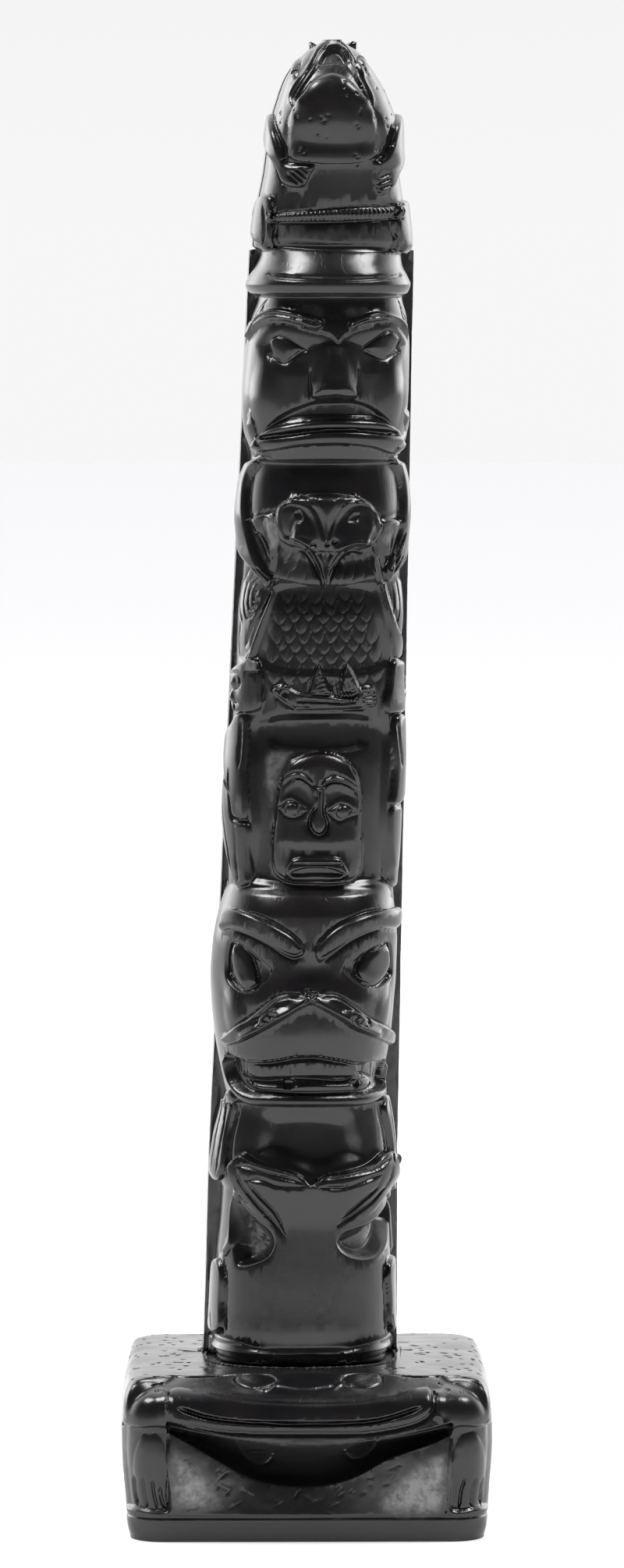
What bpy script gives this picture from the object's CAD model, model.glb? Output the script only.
"""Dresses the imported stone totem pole: dense carving, polished black stone, old glue and a pale studio."""

import logging
import math
from dataclasses import dataclass, field
from enum import Enum

import bmesh
import bpy
import numpy as np
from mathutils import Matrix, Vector


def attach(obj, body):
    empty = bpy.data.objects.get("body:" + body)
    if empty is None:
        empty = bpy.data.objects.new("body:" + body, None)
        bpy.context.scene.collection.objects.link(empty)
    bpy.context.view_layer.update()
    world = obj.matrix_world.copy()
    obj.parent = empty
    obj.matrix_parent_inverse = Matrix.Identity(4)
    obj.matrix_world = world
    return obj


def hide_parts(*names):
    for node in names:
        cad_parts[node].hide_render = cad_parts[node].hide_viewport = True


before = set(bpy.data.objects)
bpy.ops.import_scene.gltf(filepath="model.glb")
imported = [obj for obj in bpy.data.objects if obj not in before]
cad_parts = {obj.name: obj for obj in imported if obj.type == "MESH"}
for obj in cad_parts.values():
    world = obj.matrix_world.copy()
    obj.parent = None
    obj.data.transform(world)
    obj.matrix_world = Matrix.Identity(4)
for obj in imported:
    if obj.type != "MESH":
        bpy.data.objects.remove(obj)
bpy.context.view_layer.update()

LOG = logging.getLogger("totem_pole")

# All sizes are millimetres until a mesh is made; the shared frame is in metres.
MM = 0.001

# Plinth
SEAT_HEIGHT = 43.7
PLINTH_HALF_WIDTH = 47.4
PLINTH_HALF_DEPTH = 44.0
PLINTH_CORNER_RADIUS = 9.0
PLINTH_BULGE = 2.9
PLINTH_BULGE_HEIGHT = 24.0
SHOULDER_INSET = 3.6
BROW_INSET = 13.0
BAND_HEIGHT = 6.3
HOLLOW_DEPTH = 11.0
HOLLOW_LEFT = -36.0
HOLLOW_RIGHT = 36.5

# Pole
POLE_HEIGHT = 356.0
POLE_FOOT = SEAT_HEIGHT + 0.3
POLE_BACK = 13.0
POLE_SHIFT = -1.0
POLE_YAW = math.radians(2.5)
YAW_PIVOT_DEPTH = 16.0
LEAN_START = -0.95
LEAN_PER_MM = 0.0315
FOOT_SHIFT = 0.8
FOOT_SHIFT_HEIGHT = 60.0
BOARD_THICKNESS = 7.0
BOARD_HALF_FOOT = 26.5
BOARD_TAPER = 0.01416
BOARD_TOP = 300.0
NUB_LEFT = 7.4
NUB_RIGHT = 4.6
LEDGE = 1.2
RIM = 0.3
WIDEST_DEPTH = 14.0
SEAT_MARGIN = 1.6

# Mesh density
FINE_CELL = 0.25
POLE_FACES = 190000
PLINTH_FACES = 120000

# Height given to points that no cut may reach
OUT_OF_REACH = -99.0

Point = tuple[float, float]
Link = tuple[bpy.types.Node, str | int, bpy.types.Node, str | int]


class Station(Enum):
    """Columns of the pole's list of stations."""

    HEIGHT = 0
    LEFT = 1
    RIGHT = 2
    FRONT = 3
    ROUNDNESS = 4


# Blank of the pole from foot to snout: height, half width left, half width right, front depth, roundness
STATIONS = np.array([
    (0, 26.0, 25.5, 37.5, 2.5),
    (4.2, 26.0, 25.5, 37.5, 2.5),
    (5.4, 24.6, 24.4, 36.0, 2.5),
    (27, 23.6, 23.6, 34.6, 2.5),
    (46, 22.4, 22.6, 33.4, 2.4),
    (48.5, 23.4, 23.4, 33.0, 2.4),
    (51, 24.6, 24.0, 32.0, 2.4),
    (60, 23.8, 23.0, 30.0, 2.4),
    (70.0, 22.0, 21.2, 29.0, 2.4),
    (71.4, 22.0, 20.4, 35.0, 2.4),
    (74, 22.6, 20.4, 37.0, 2.4),
    (83.5, 24.6, 21.6, 38.8, 2.3),
    (90, 25.8, 22.4, 40.0, 2.2),
    (98, 26.8, 22.9, 39.6, 2.1),
    (105, 27.2, 23.2, 37.4, 2.1),
    (113, 26.8, 23.2, 36.6, 2.2),
    (121, 25.6, 22.4, 36.4, 2.3),
    (126.5, 24.0, 21.8, 34.0, 2.4),
    (129.2, 23.0, 21.6, 30.8, 2.6),
    (137, 23.4, 22.0, 30.2, 2.7),
    (150, 24.4, 22.2, 30.2, 2.7),
    (161, 24.0, 22.2, 29.8, 2.7),
    (172, 23.2, 21.8, 28.6, 2.6),
    (187, 22.6, 20.9, 29.4, 2.4),
    (201, 22.6, 22.0, 29.0, 2.3),
    (210.4, 21.8, 21.2, 27.8, 2.3),
    (211.8, 21.6, 20.6, 30.6, 2.3),
    (220, 21.6, 20.6, 32.2, 2.3),
    (229, 22.4, 21.0, 32.4, 2.3),
    (237, 21.8, 20.3, 31.0, 2.3),
    (242.6, 20.6, 19.2, 30.0, 2.4),
    (244.2, 20.6, 19.2, 33.0, 2.4),
    (252, 22.8, 20.8, 34.6, 2.5),
    (262, 23.5, 21.4, 34.6, 2.6),
    (273, 22.9, 21.3, 34.6, 2.6),
    (282, 21.1, 20.2, 33.8, 2.6),
    (287.2, 19.7, 18.9, 32.8, 2.6),
    (288.4, 22.4, 20.4, 36.4, 2.4),
    (290.6, 23.4, 21.0, 37.0, 2.4),
    (292.6, 22.6, 20.2, 36.2, 2.4),
    (296, 20.4, 18.6, 34.2, 2.3),
    (299.2, 19.4, 18.2, 31.6, 2.3),
    (301, 21.2, 19.8, 29.6, 2.2),
    (310, 20.6, 18.8, 29.8, 2.4),
    (321, 18.9, 17.0, 30.4, 2.4),
    (326, 18.4, 16.4, 32.0, 2.5),
    (333, 17.7, 16.0, 33.0, 2.5),
    (340.6, 15.8, 13.4, 31.4, 2.4),
    (345.4, 14.2, 10.7, 28.6, 2.3),
    (350, 11.4, 7.5, 24.6, 2.2),
    (353, 8.8, 4.9, 21.6, 2.0),
    (356, 4.6, 0.6, 18.4, 2.0),
])


def smooth_step(start: float, end: float, value: np.ndarray) -> np.ndarray:
    """Rises smoothly from 0 at start to 1 at end.

    Args:
        start: Value where the step begins.
        end: Value where it is complete; it may be below start.
        value: Numbers to map.

    Returns:
        The eased share of the step for each number.
    """
    t = np.clip((np.asarray(value, dtype=float) - start) / (end - start), 0.0, 1.0)
    return t * t * (3.0 - 2.0 * t)


def station_value(height: np.ndarray, which: Station) -> np.ndarray:
    """Reads one station column at any height, with slopes that never overshoot.

    Args:
        height: Heights above the pole's foot.
        which: The column to read.

    Returns:
        The column's value at each height.
    """
    height = np.atleast_1d(np.asarray(height, dtype=float))
    at = STATIONS[:, Station.HEIGHT.value]
    values = STATIONS[:, which.value]
    slope = np.diff(values) / np.diff(at)
    before = np.concatenate([[0.0], slope])
    after = np.concatenate([slope, [0.0]])
    product = before * after
    total = before + after
    tangent = np.where(product > 0, 2 * product / np.where(total == 0, 1, total), 0.0)
    k = np.clip(np.searchsorted(at, height, side="right") - 1, 0, len(at) - 2)
    span = at[k + 1] - at[k]
    t = np.clip((height - at[k]) / span, 0.0, 1.0)
    rise = (1 + 2 * t) * (1 - t) ** 2 * values[k] + t * t * (3 - 2 * t) * values[k + 1]
    turn = span * (t * (1 - t) ** 2 * tangent[k] + t * t * (t - 1) * tangent[k + 1])
    return rise + turn


def board_half(height: np.ndarray, side: int) -> np.ndarray:
    """Half width of the slab behind the figures, or of the figure itself above the slab's top.

    Args:
        height: Heights above the pole's foot.
        side: -1 for the left edge, 1 for the right.

    Returns:
        The half width at each height.
    """
    height = np.atleast_1d(np.asarray(height, dtype=float))
    figure = station_value(height, Station.LEFT if side < 0 else Station.RIGHT)
    nub = NUB_LEFT if side < 0 else NUB_RIGHT
    board = BOARD_HALF_FOOT - BOARD_TAPER * height
    return np.where(height < BOARD_TOP, board, np.maximum(figure, nub) + RIM)


def placed(x: np.ndarray, depth: np.ndarray, height: np.ndarray) -> np.ndarray:
    """Turns pole-local width, depth and height into the shared frame.

    Args:
        x: Width from the pole's own centre line.
        depth: Depth in front of the flat back.
        height: Height above the foot.

    Returns:
        Points in millimetres in the shared frame, last axis x, y, z.
    """
    foot_shift = FOOT_SHIFT * (1 - smooth_step(0, FOOT_SHIFT_HEIGHT, height))
    across = x + LEAN_START + LEAN_PER_MM * height + foot_shift
    back = YAW_PIVOT_DEPTH - depth
    cos, sin = math.cos(POLE_YAW), math.sin(POLE_YAW)
    return np.stack([
        POLE_SHIFT + across * cos - back * sin,
        POLE_BACK - YAW_PIVOT_DEPTH + across * sin + back * cos,
        POLE_FOOT + height,
    ], axis=-1)


def curve_through(points: list[Point], closed: bool = False, steps: int = 8) -> np.ndarray:
    """Runs a smooth curve through a few points.

    Args:
        points: Points to pass through.
        closed: Whether the curve returns to its start.
        steps: Pieces between two points.

    Returns:
        The curve's points.
    """
    p = np.asarray(points, dtype=float)
    n = len(p)
    if n < 3:
        return p
    if closed:
        ring = np.vstack([p[-1], p, p[0], p[1]])
        spans = n
    else:
        ring = np.vstack([2 * p[0] - p[1], p, 2 * p[-1] - p[-2]])
        spans = n - 1
    out = []
    for k in range(spans):
        a, b, c, d = ring[k:k + 4]
        ta = 0.0
        tb = ta + max(1e-6, np.linalg.norm(b - a)) ** 0.5
        tc = tb + max(1e-6, np.linalg.norm(c - b)) ** 0.5
        td = tc + max(1e-6, np.linalg.norm(d - c)) ** 0.5
        t = np.linspace(tb, tc, steps, endpoint=False)[:, None]
        ab = (tb - t) / (tb - ta) * a + (t - ta) / (tb - ta) * b
        bc = (tc - t) / (tc - tb) * b + (t - tb) / (tc - tb) * c
        cd = (td - t) / (td - tc) * c + (t - tc) / (td - tc) * d
        abc = (tc - t) / (tc - ta) * ab + (t - ta) / (tc - ta) * bc
        bcd = (td - t) / (td - tb) * bc + (t - tb) / (td - tb) * cd
        out.append((tc - t) / (tc - tb) * abc + (t - tb) / (tc - tb) * bcd)
    if not closed:
        out.append(p[-1:])
    return np.vstack(out)


class Profile(Enum):
    """Cross-section that a cut or a raised band gets between its edges."""

    ROUND = "round"
    SHARP = "sharp"
    FLAT = "flat"


def shaped(share: np.ndarray, profile: Profile) -> np.ndarray:
    """Height share across a band, from 0 at its edge to 1 at its middle.

    Args:
        share: 0 at the edge and 1 in the middle.
        profile: The band's cross-section.

    Returns:
        Share of the full height.
    """
    share = np.clip(share, 0.0, 1.0)
    if profile is Profile.ROUND:
        return np.sqrt(np.clip(1.0 - (1.0 - share) ** 2, 0.0, 1.0))
    if profile is Profile.SHARP:
        return share
    return share * share * (3 - 2 * share)


class CarvedSheet:
    """A dense sheet of surface points that is carved by adding relief along its normals."""

    def __init__(self, across: np.ndarray, up: np.ndarray, height: np.ndarray | None = None) -> None:
        """Takes the flat chart of the sheet.

        Args:
            across: Length round the surface at each point.
            up: Height at each point.
            height: Heights that bound each row, where up holds other values.
        """
        self.across = across
        self.up = up
        self.relief = np.zeros_like(across)
        self.rough = np.zeros_like(across)
        self.dust = np.zeros_like(across)
        rows = up if height is None else height
        self.row_low, self.row_high = rows.min(axis=1), rows.max(axis=1)

    def window(self, line: np.ndarray, margin: float) -> tuple[slice, slice] | None:
        """Finds the rows and columns that a cut can reach.

        Args:
            line: Points of the cut.
            margin: Its reach past them.

        Returns:
            The slices, or None where the cut misses the sheet.
        """
        low, high = line.min(axis=0) - margin, line.max(axis=0) + margin
        rows = np.nonzero((self.row_high >= low[1]) & (self.row_low <= high[1]))[0]
        if len(rows) == 0:
            return None
        part = self.across[rows[0]:rows[-1] + 1]
        columns = np.nonzero(((part >= low[0]) & (part <= high[0])).any(axis=0))[0]
        if len(columns) == 0:
            return None
        return slice(rows[0], rows[-1] + 1), slice(columns[0], columns[-1] + 1)

    def measure(self, line: np.ndarray, spot: tuple[slice, slice],
                closed: bool = False) -> tuple[np.ndarray, np.ndarray, float, np.ndarray]:
        """Measures each point in the window against a line.

        Args:
            line: Points of the line.
            spot: The window.
            closed: Whether the line is a loop.

        Returns:
            The distance, the length along the line at the nearest place, the line's whole length, and
            whether the point is on the line's left.
        """
        a, u = self.across[spot], self.up[spot]
        best = np.full(a.shape, 1e9)
        along = np.zeros(a.shape)
        left = np.zeros(a.shape, dtype=bool)
        total = 0.0
        for start, end in zip(line, np.vstack([line[1:], line[:1]]) if closed else line[1:]):
            da, du = end - start
            size = math.hypot(da, du) or 1e-9
            t = np.clip(((a - start[0]) * da + (u - start[1]) * du) / size ** 2, 0, 1)
            distance = np.hypot(a - start[0] - da * t, u - start[1] - du * t)
            nearer = distance < best
            best[nearer] = distance[nearer]
            along[nearer] = (total + t * size)[nearer]
            left[nearer] = (da * (u - start[1]) - du * (a - start[0]) > 0)[nearer]
            total += size
        return best, along, total, left

    def dome(self, centre: Point, radius_a: float, radius_u: float, height: float, tilt: float = 0.0,
             power: float = 1.0) -> None:
        """Raises or sinks an oval.

        Args:
            centre: Middle of the oval.
            radius_a: Half length along its own first axis.
            radius_u: Half length along its second axis.
            height: Height in the middle, negative for a hollow.
            tilt: Turn of the first axis, in radians.
            power: Fullness; 0.5 is a ball, 2 a soft mound.
        """
        spot = self.window(np.array([centre]), max(radius_a, radius_u))
        if spot is None:
            return
        da = self.across[spot] - centre[0]
        du = self.up[spot] - centre[1]
        c, n = math.cos(tilt), math.sin(tilt)
        r = ((da * c + du * n) / radius_a) ** 2 + ((du * c - da * n) / radius_u) ** 2
        self.relief[spot] += height * np.clip(1 - r, 0, None) ** power

    def stroke(self, points: list[Point], half_width: float, height: float, taper: float = 0.0,
               profile: Profile = Profile.FLAT) -> None:
        """Cuts a groove or raises a ridge along a smooth line.

        Args:
            points: A few points of the line.
            half_width: Half the width of the cut.
            height: Height in the middle, negative for a groove.
            taper: Length over which both ends thin out.
            profile: The cut's cross-section.
        """
        line = curve_through(points)
        spot = self.window(line, half_width)
        if spot is None:
            return
        distance, along, total, _ = self.measure(line, spot)
        width = np.full(distance.shape, half_width)
        if taper > 0:
            width = half_width * (0.25 + 0.75 * smooth_step(0, taper, np.minimum(along, total - along)))
        share = shaped(1 - distance / width, profile)
        if taper > 0:
            share = share * width / half_width
        self.relief[spot] += height * np.where(distance < width, share, 0)

    def ledge(self, points: list[Point], fade: float, height: float, edge: float, taper: float) -> None:
        """Raises the ground on the left of a line, sharp at the line and fading away from it.

        Args:
            points: A few points of the line.
            fade: Distance from the line at which the ground is level again.
            height: Height next to the line.
            edge: Width of the sharp side.
            taper: Length over which both ends fade.
        """
        line = curve_through(points)
        spot = self.window(line, fade)
        if spot is None:
            return
        distance, along, total, left = self.measure(line, spot)
        ends = smooth_step(0, taper, np.minimum(along, total - along))
        rise = smooth_step(0, edge, distance) * (1 - smooth_step(edge, fade, distance)) * ends
        self.relief[spot] += np.where(left, height * rise, 0)

    def region(self, points: list[Point], height: float, edge: float, profile: Profile = Profile.FLAT,
               channel: str = "relief", fade: tuple[float, float] | None = None) -> None:
        """Raises or sinks the inside of a closed smooth outline.

        Args:
            points: A few points of the outline.
            height: Height inside, negative for a recess.
            edge: Width over which the height is reached.
            profile: The edge's cross-section.
            channel: The sheet's array that is changed.
            fade: Heights at which the form starts from nothing and is complete.
        """
        line = curve_through(points, closed=True)
        spot = self.window(line, 0)
        if spot is None:
            return
        distance = self.measure(line, spot, True)[0]
        a, u = self.across[spot], self.up[spot]
        inside = np.zeros(a.shape, dtype=bool)
        for start, end in zip(line, np.vstack([line[1:], line[:1]])):
            climb = end[1] - start[1]
            if climb != 0:
                crosses = (start[1] > u) != (end[1] > u)
                inside ^= crosses & (a < start[0] + (u - start[1]) * (end[0] - start[0]) / climb)
        rise = height * shaped(distance / edge, profile)
        if fade is not None:
            rise = rise * smooth_step(*fade, u)
        getattr(self, channel)[spot] += np.where(inside, rise, 0)

    def tooled(self, points: list[Point], strength: float, dust: float, edge: float = 1.2) -> None:
        """Marks a patch that was left rough from the knife.

        Args:
            points: A few points of the patch's outline.
            strength: How rough it is, up to 1.
            dust: How pale it is, up to 1.
            edge: Width over which it fades in.
        """
        self.region(points, strength, edge, channel="rough")
        self.region(points, dust, edge, channel="dust")


def lattice(points: np.ndarray, seed: int) -> np.ndarray:
    """Even pseudo-random number for each whole-number point.

    Args:
        points: Whole-number coordinates, last axis of two or three.
        seed: Number that picks the pattern.

    Returns:
        A number from 0 to 1 for each point.
    """
    mix = np.zeros(points.shape[:-1], dtype=np.uint64)
    for axis, prime in enumerate((73856093, 19349663, 83492791)[:points.shape[-1]]):
        mix ^= (points[..., axis].astype(np.int64) + 4096).astype(np.uint64) * np.uint64(prime)
    mix ^= np.uint64(seed * 2654435761 % (1 << 32))
    mix = (mix ^ (mix >> np.uint64(13))) * np.uint64(1274126177)
    mix &= np.uint64(0xFFFFFFFF)
    mix ^= mix >> np.uint64(16)
    return (mix & np.uint64(0xFFFF)).astype(float) / 65535.0


def value_noise(points: np.ndarray, size: float, seed: int) -> np.ndarray:
    """Smooth noise over points in millimetres.

    Args:
        points: Points, last axis of two or three.
        size: Width of one bump.
        seed: Number that picks the pattern.

    Returns:
        Noise from -1 to 1.
    """
    scaled = points / size
    base = np.floor(scaled)
    part = scaled - base
    part = part * part * (3 - 2 * part)
    axes = points.shape[-1]
    total = np.zeros(points.shape[:-1])
    for corner in range(2 ** axes):
        offset = np.array([(corner >> axis) & 1 for axis in range(axes)])
        weight = np.ones(points.shape[:-1])
        for axis in range(axes):
            weight *= part[..., axis] if offset[axis] else 1 - part[..., axis]
        total += weight * lattice(base + offset, seed)
    return total * 2 - 1


def sheet_normals(points: np.ndarray, wrap: bool) -> np.ndarray:
    """Outward normals of a grid of points.

    Args:
        points: Grid of points, rows from low to high.
        wrap: Whether the columns go all the way round.

    Returns:
        Unit normals.
    """
    if wrap:
        across = np.roll(points, -1, axis=1) - np.roll(points, 1, axis=1)
    else:
        across = np.gradient(points, axis=1)
    up = np.gradient(points, axis=0)
    normal = np.cross(across, up)
    return normal / np.maximum(np.linalg.norm(normal, axis=-1, keepdims=True), 1e-12)


@dataclass
class Shell:
    """Finished surface of one stone piece, before it becomes a Blender mesh."""

    points: np.ndarray
    normals: np.ndarray
    rough: np.ndarray
    dust: np.ndarray
    foot_middle: np.ndarray
    top_middle: np.ndarray

    def to_object(self, name: str, face_budget: int) -> bpy.types.Object:
        """Makes a closed mesh of the shell and thins it where it is smooth.

        Args:
            name: Name of the new object.
            face_budget: Most triangles that it may keep.

        Returns:
            The finished object, linked to the scene.
        """
        rows, cols, _ = self.points.shape
        flat = self.points.reshape(-1, 3)
        vertices = np.vstack([flat, self.foot_middle[None], self.top_middle[None]]) * MM
        grid = np.arange(rows * cols).reshape(rows, cols)
        after = np.roll(grid, -1, axis=1)
        low, high = grid[:-1], grid[1:]
        low_after, high_after = after[:-1], after[1:]
        first = np.stack([low, low_after, high_after], axis=-1).reshape(-1, 3)
        second = np.stack([low, high_after, high], axis=-1).reshape(-1, 3)
        foot = np.stack([np.full(cols, rows * cols), after[0], grid[0]], axis=-1)
        top = np.stack([np.full(cols, rows * cols + 1), grid[-1], after[-1]], axis=-1)
        triangles = np.vstack([first, second, foot, top])
        mesh = bpy.data.meshes.new(name)
        mesh.vertices.add(len(vertices))
        mesh.vertices.foreach_set("co", vertices.ravel())
        mesh.loops.add(triangles.size)
        mesh.loops.foreach_set("vertex_index", triangles.ravel().astype(np.int32))
        mesh.polygons.add(len(triangles))
        mesh.polygons.foreach_set("loop_start", np.arange(0, triangles.size, 3, dtype=np.int32))
        mesh.update(calc_edges=True)
        for key, values in (("tooled", self.rough), ("dusty", self.dust)):
            layer = mesh.attributes.new(key, "FLOAT", "POINT")
            layer.data.foreach_set("value", np.concatenate([values.ravel(), [0.0, 0.0]]).astype(np.float32))
        dense = bpy.data.objects.new(name + "_dense", mesh)
        bpy.context.scene.collection.objects.link(dense)
        thinner = dense.modifiers.new("thin", "DECIMATE")
        thinner.ratio = min(1.0, face_budget / len(triangles))
        thin = bpy.data.meshes.new_from_object(dense.evaluated_get(bpy.context.evaluated_depsgraph_get()))
        thin.name = name
        bpy.data.objects.remove(dense)
        bpy.data.meshes.remove(mesh)
        thin.polygons.foreach_set("use_smooth", np.ones(len(thin.polygons), dtype=bool))
        finished = bpy.data.objects.new(name, thin)
        bpy.context.scene.collection.objects.link(finished)
        LOG.info("%s: %d triangles", name, len(thin.polygons))
        return finished


@dataclass
class PoleBlank:
    """Smooth blank of the pole: a D-shaped front on a flat slab, from foot to snout."""

    cell: float = FINE_CELL
    front_girth: float = 96.0
    tuck_steps: int = 8
    arc_steps: int = 160
    front_columns: int = 0
    heights: np.ndarray = field(default_factory=lambda: np.zeros(1))
    x: np.ndarray = field(default_factory=lambda: np.zeros((1, 1)))
    depth: np.ndarray = field(default_factory=lambda: np.zeros((1, 1)))
    length: np.ndarray = field(default_factory=lambda: np.zeros((1, 1)))

    def build(self) -> None:
        """Works out the front's points row by row."""
        rows = int(POLE_HEIGHT / self.cell)
        self.front_columns = int(self.front_girth / self.cell)
        self.heights = np.linspace(0, POLE_HEIGHT, rows + 1)
        left = station_value(self.heights, Station.LEFT)
        right = station_value(self.heights, Station.RIGHT)
        front = station_value(self.heights, Station.FRONT)
        power = 2 / station_value(self.heights, Station.ROUNDNESS)
        inset = np.where(self.heights < BOARD_TOP, LEDGE, RIM)
        left_rim = np.minimum(left, board_half(self.heights, -1) - inset)
        right_rim = np.minimum(right, board_half(self.heights, 1) - inset)
        tuck = np.arange(self.tuck_steps) / self.tuck_steps
        arc = np.pi * (1 - np.arange(self.arc_steps + 1) / self.arc_steps)
        cos, sin = np.cos(arc), np.abs(np.sin(arc))
        left_tuck = -(left[:, None] - (left - left_rim)[:, None] * (1 - tuck) ** 2)
        right_tuck = (right[:, None] - (right - right_rim)[:, None] * (1 - tuck) ** 2)[:, ::-1]
        half = np.where(cos < 0, left[:, None], right[:, None])
        arc_x = np.sign(cos) * half * np.abs(cos) ** power[:, None]
        arc_depth = WIDEST_DEPTH + (front - WIDEST_DEPTH)[:, None] * sin ** power[:, None]
        tuck_depth = BOARD_THICKNESS + (WIDEST_DEPTH - BOARD_THICKNESS) * tuck
        tuck_depth = np.broadcast_to(tuck_depth, left_tuck.shape)
        x = np.hstack([left_tuck, arc_x, right_tuck])
        depth = np.hstack([tuck_depth, arc_depth, tuck_depth[:, ::-1]])
        steps = np.hypot(np.diff(x, axis=1), np.diff(depth, axis=1))
        length = np.hstack([np.zeros((len(x), 1)), np.cumsum(steps, axis=1)])
        share = np.linspace(0, 1, self.front_columns + 1)
        shape = (len(x), self.front_columns + 1)
        self.x, self.depth, self.length = np.zeros(shape), np.zeros(shape), np.zeros(shape)
        for j in range(len(x)):
            goal = share * length[j, -1]
            self.x[j] = np.interp(goal, length[j], x[j])
            self.depth[j] = np.interp(goal, length[j], depth[j])
            self.length[j] = goal - np.interp(0, self.x[j, :], goal)

    def wrapped(self, x: float, height: float) -> Point:
        """Turns a width seen from the front into the length round the blank.

        Args:
            x: Width from the centre line.
            height: Height above the foot.

        Returns:
            Length round the blank, and the height.
        """
        j = int(np.clip(round(height / POLE_HEIGHT * (len(self.heights) - 1)), 0, len(self.heights) - 1))
        inner = self.depth[j] >= WIDEST_DEPTH - 0.01
        xs, lengths = self.x[j][inner], self.length[j][inner]
        if x <= xs[0]:
            return float(lengths[0] - (xs[0] - x)), height
        if x >= xs[-1]:
            return float(lengths[-1] + (x - xs[-1])), height
        return float(np.interp(x, xs, lengths)), height

    def grid(self) -> np.ndarray:
        """Closes the front with its ledges, sides and flat back.

        Returns:
            Pole-local points, x, minus depth and height, with columns going all the way round.
        """
        coarse = max(2, int(1.0 / self.cell))
        h = self.heights
        rows = len(h)
        right, left = board_half(h, 1), -board_half(h, -1)
        front = np.stack([self.x, self.depth], axis=-1)
        corner = [
            front[:, -1],
            np.stack([right, np.full(rows, BOARD_THICKNESS)], axis=-1),
            np.stack([right, np.zeros(rows)], axis=-1),
            np.stack([left, np.zeros(rows)], axis=-1),
            np.stack([left, np.full(rows, BOARD_THICKNESS)], axis=-1),
            front[:, 0],
        ]
        counts = [coarse, 7 * coarse // 2, 24 * coarse, 7 * coarse // 2, coarse]
        parts = [front]
        for start, end, count in zip(corner, corner[1:], counts):
            share = (np.arange(1, count + (end is not corner[-1])) / count)[None, :, None]
            parts.append(start[:, None] * (1 - share) + end[:, None] * share)
        flat = np.concatenate(parts, axis=1)
        height = np.broadcast_to(h[:, None], flat.shape[:2])
        return np.stack([flat[..., 0], -flat[..., 1], height], axis=-1)


@dataclass
class Figure:
    """One carved figure of the pole, given by widths and heights on its front.

    A path is a few points of a line, an outline a few points of a closed one. Half is half a line's width,
    height and depth are taken in its middle, and both its ends thin out over the taper.
    """

    blank: PoleBlank
    sheet: CarvedSheet

    def at(self, x: float, z: float) -> Point:
        """Place of a width and height on the front."""
        return self.blank.wrapped(x, z)

    def line(self, path: list[Point]) -> list[Point]:
        """Places of a path on the front."""
        return [self.at(x, z) for x, z in path]

    def band(self, *paths: list[Point], half: float, height: float, taper: float = 0.0,
             profile: Profile = Profile.FLAT) -> None:
        """Raises soft-edged lines, or sinks them where the height is negative."""
        for path in paths:
            self.sheet.stroke(self.line(path), half, height, taper, profile)

    def ridge(self, *paths: list[Point], half: float, height: float, taper: float) -> None:
        """Raises round-backed lines."""
        self.band(*paths, half=half, height=height, taper=taper, profile=Profile.ROUND)

    def groove(self, *paths: list[Point], half: float, depth: float, taper: float = 0.0) -> None:
        """Cuts sharp lines."""
        self.band(*paths, half=half, height=-depth, taper=taper, profile=Profile.SHARP)

    def patch(self, *outlines: list[Point], height: float, edge: float, profile: Profile = Profile.FLAT,
              fade: tuple[float, float] | None = None) -> None:
        """Raises the inside of outlines, or sinks it where the height is negative."""
        for outline in outlines:
            self.sheet.region(self.line(outline), height, edge, profile, fade=fade)

    def swell(self, *outlines: list[Point], height: float, edge: float,
              fade: tuple[float, float] | None = None) -> None:
        """Raises rounded forms inside outlines."""
        self.patch(*outlines, height=height, edge=edge, profile=Profile.ROUND, fade=fade)

    def ledge(self, path: list[Point], fade: float, height: float, edge: float, taper: float) -> None:
        """Raises the ground on the left of a path."""
        self.sheet.ledge(self.line(path), fade, height, edge, taper)

    def mound(self, *centres: Point, across: float, up: float, height: float, tilt: float = 0.0,
              power: float = 1.0) -> None:
        """Raises ovals of the given half lengths, or sinks them where the height is negative."""
        for x, z in centres:
            self.sheet.dome(self.at(x, z), across, up, height, tilt, power)

    def rough(self, *outlines: list[Point], strength: float, dust: float, edge: float = 1.2) -> None:
        """Marks the inside of outlines as left rough from the knife and dusty."""
        for outline in outlines:
            self.sheet.tooled(self.line(outline), strength, dust, edge)

    def forms(self) -> None:
        """Cuts the main masses."""

    def details(self) -> None:
        """Cuts the fine lines."""


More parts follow.
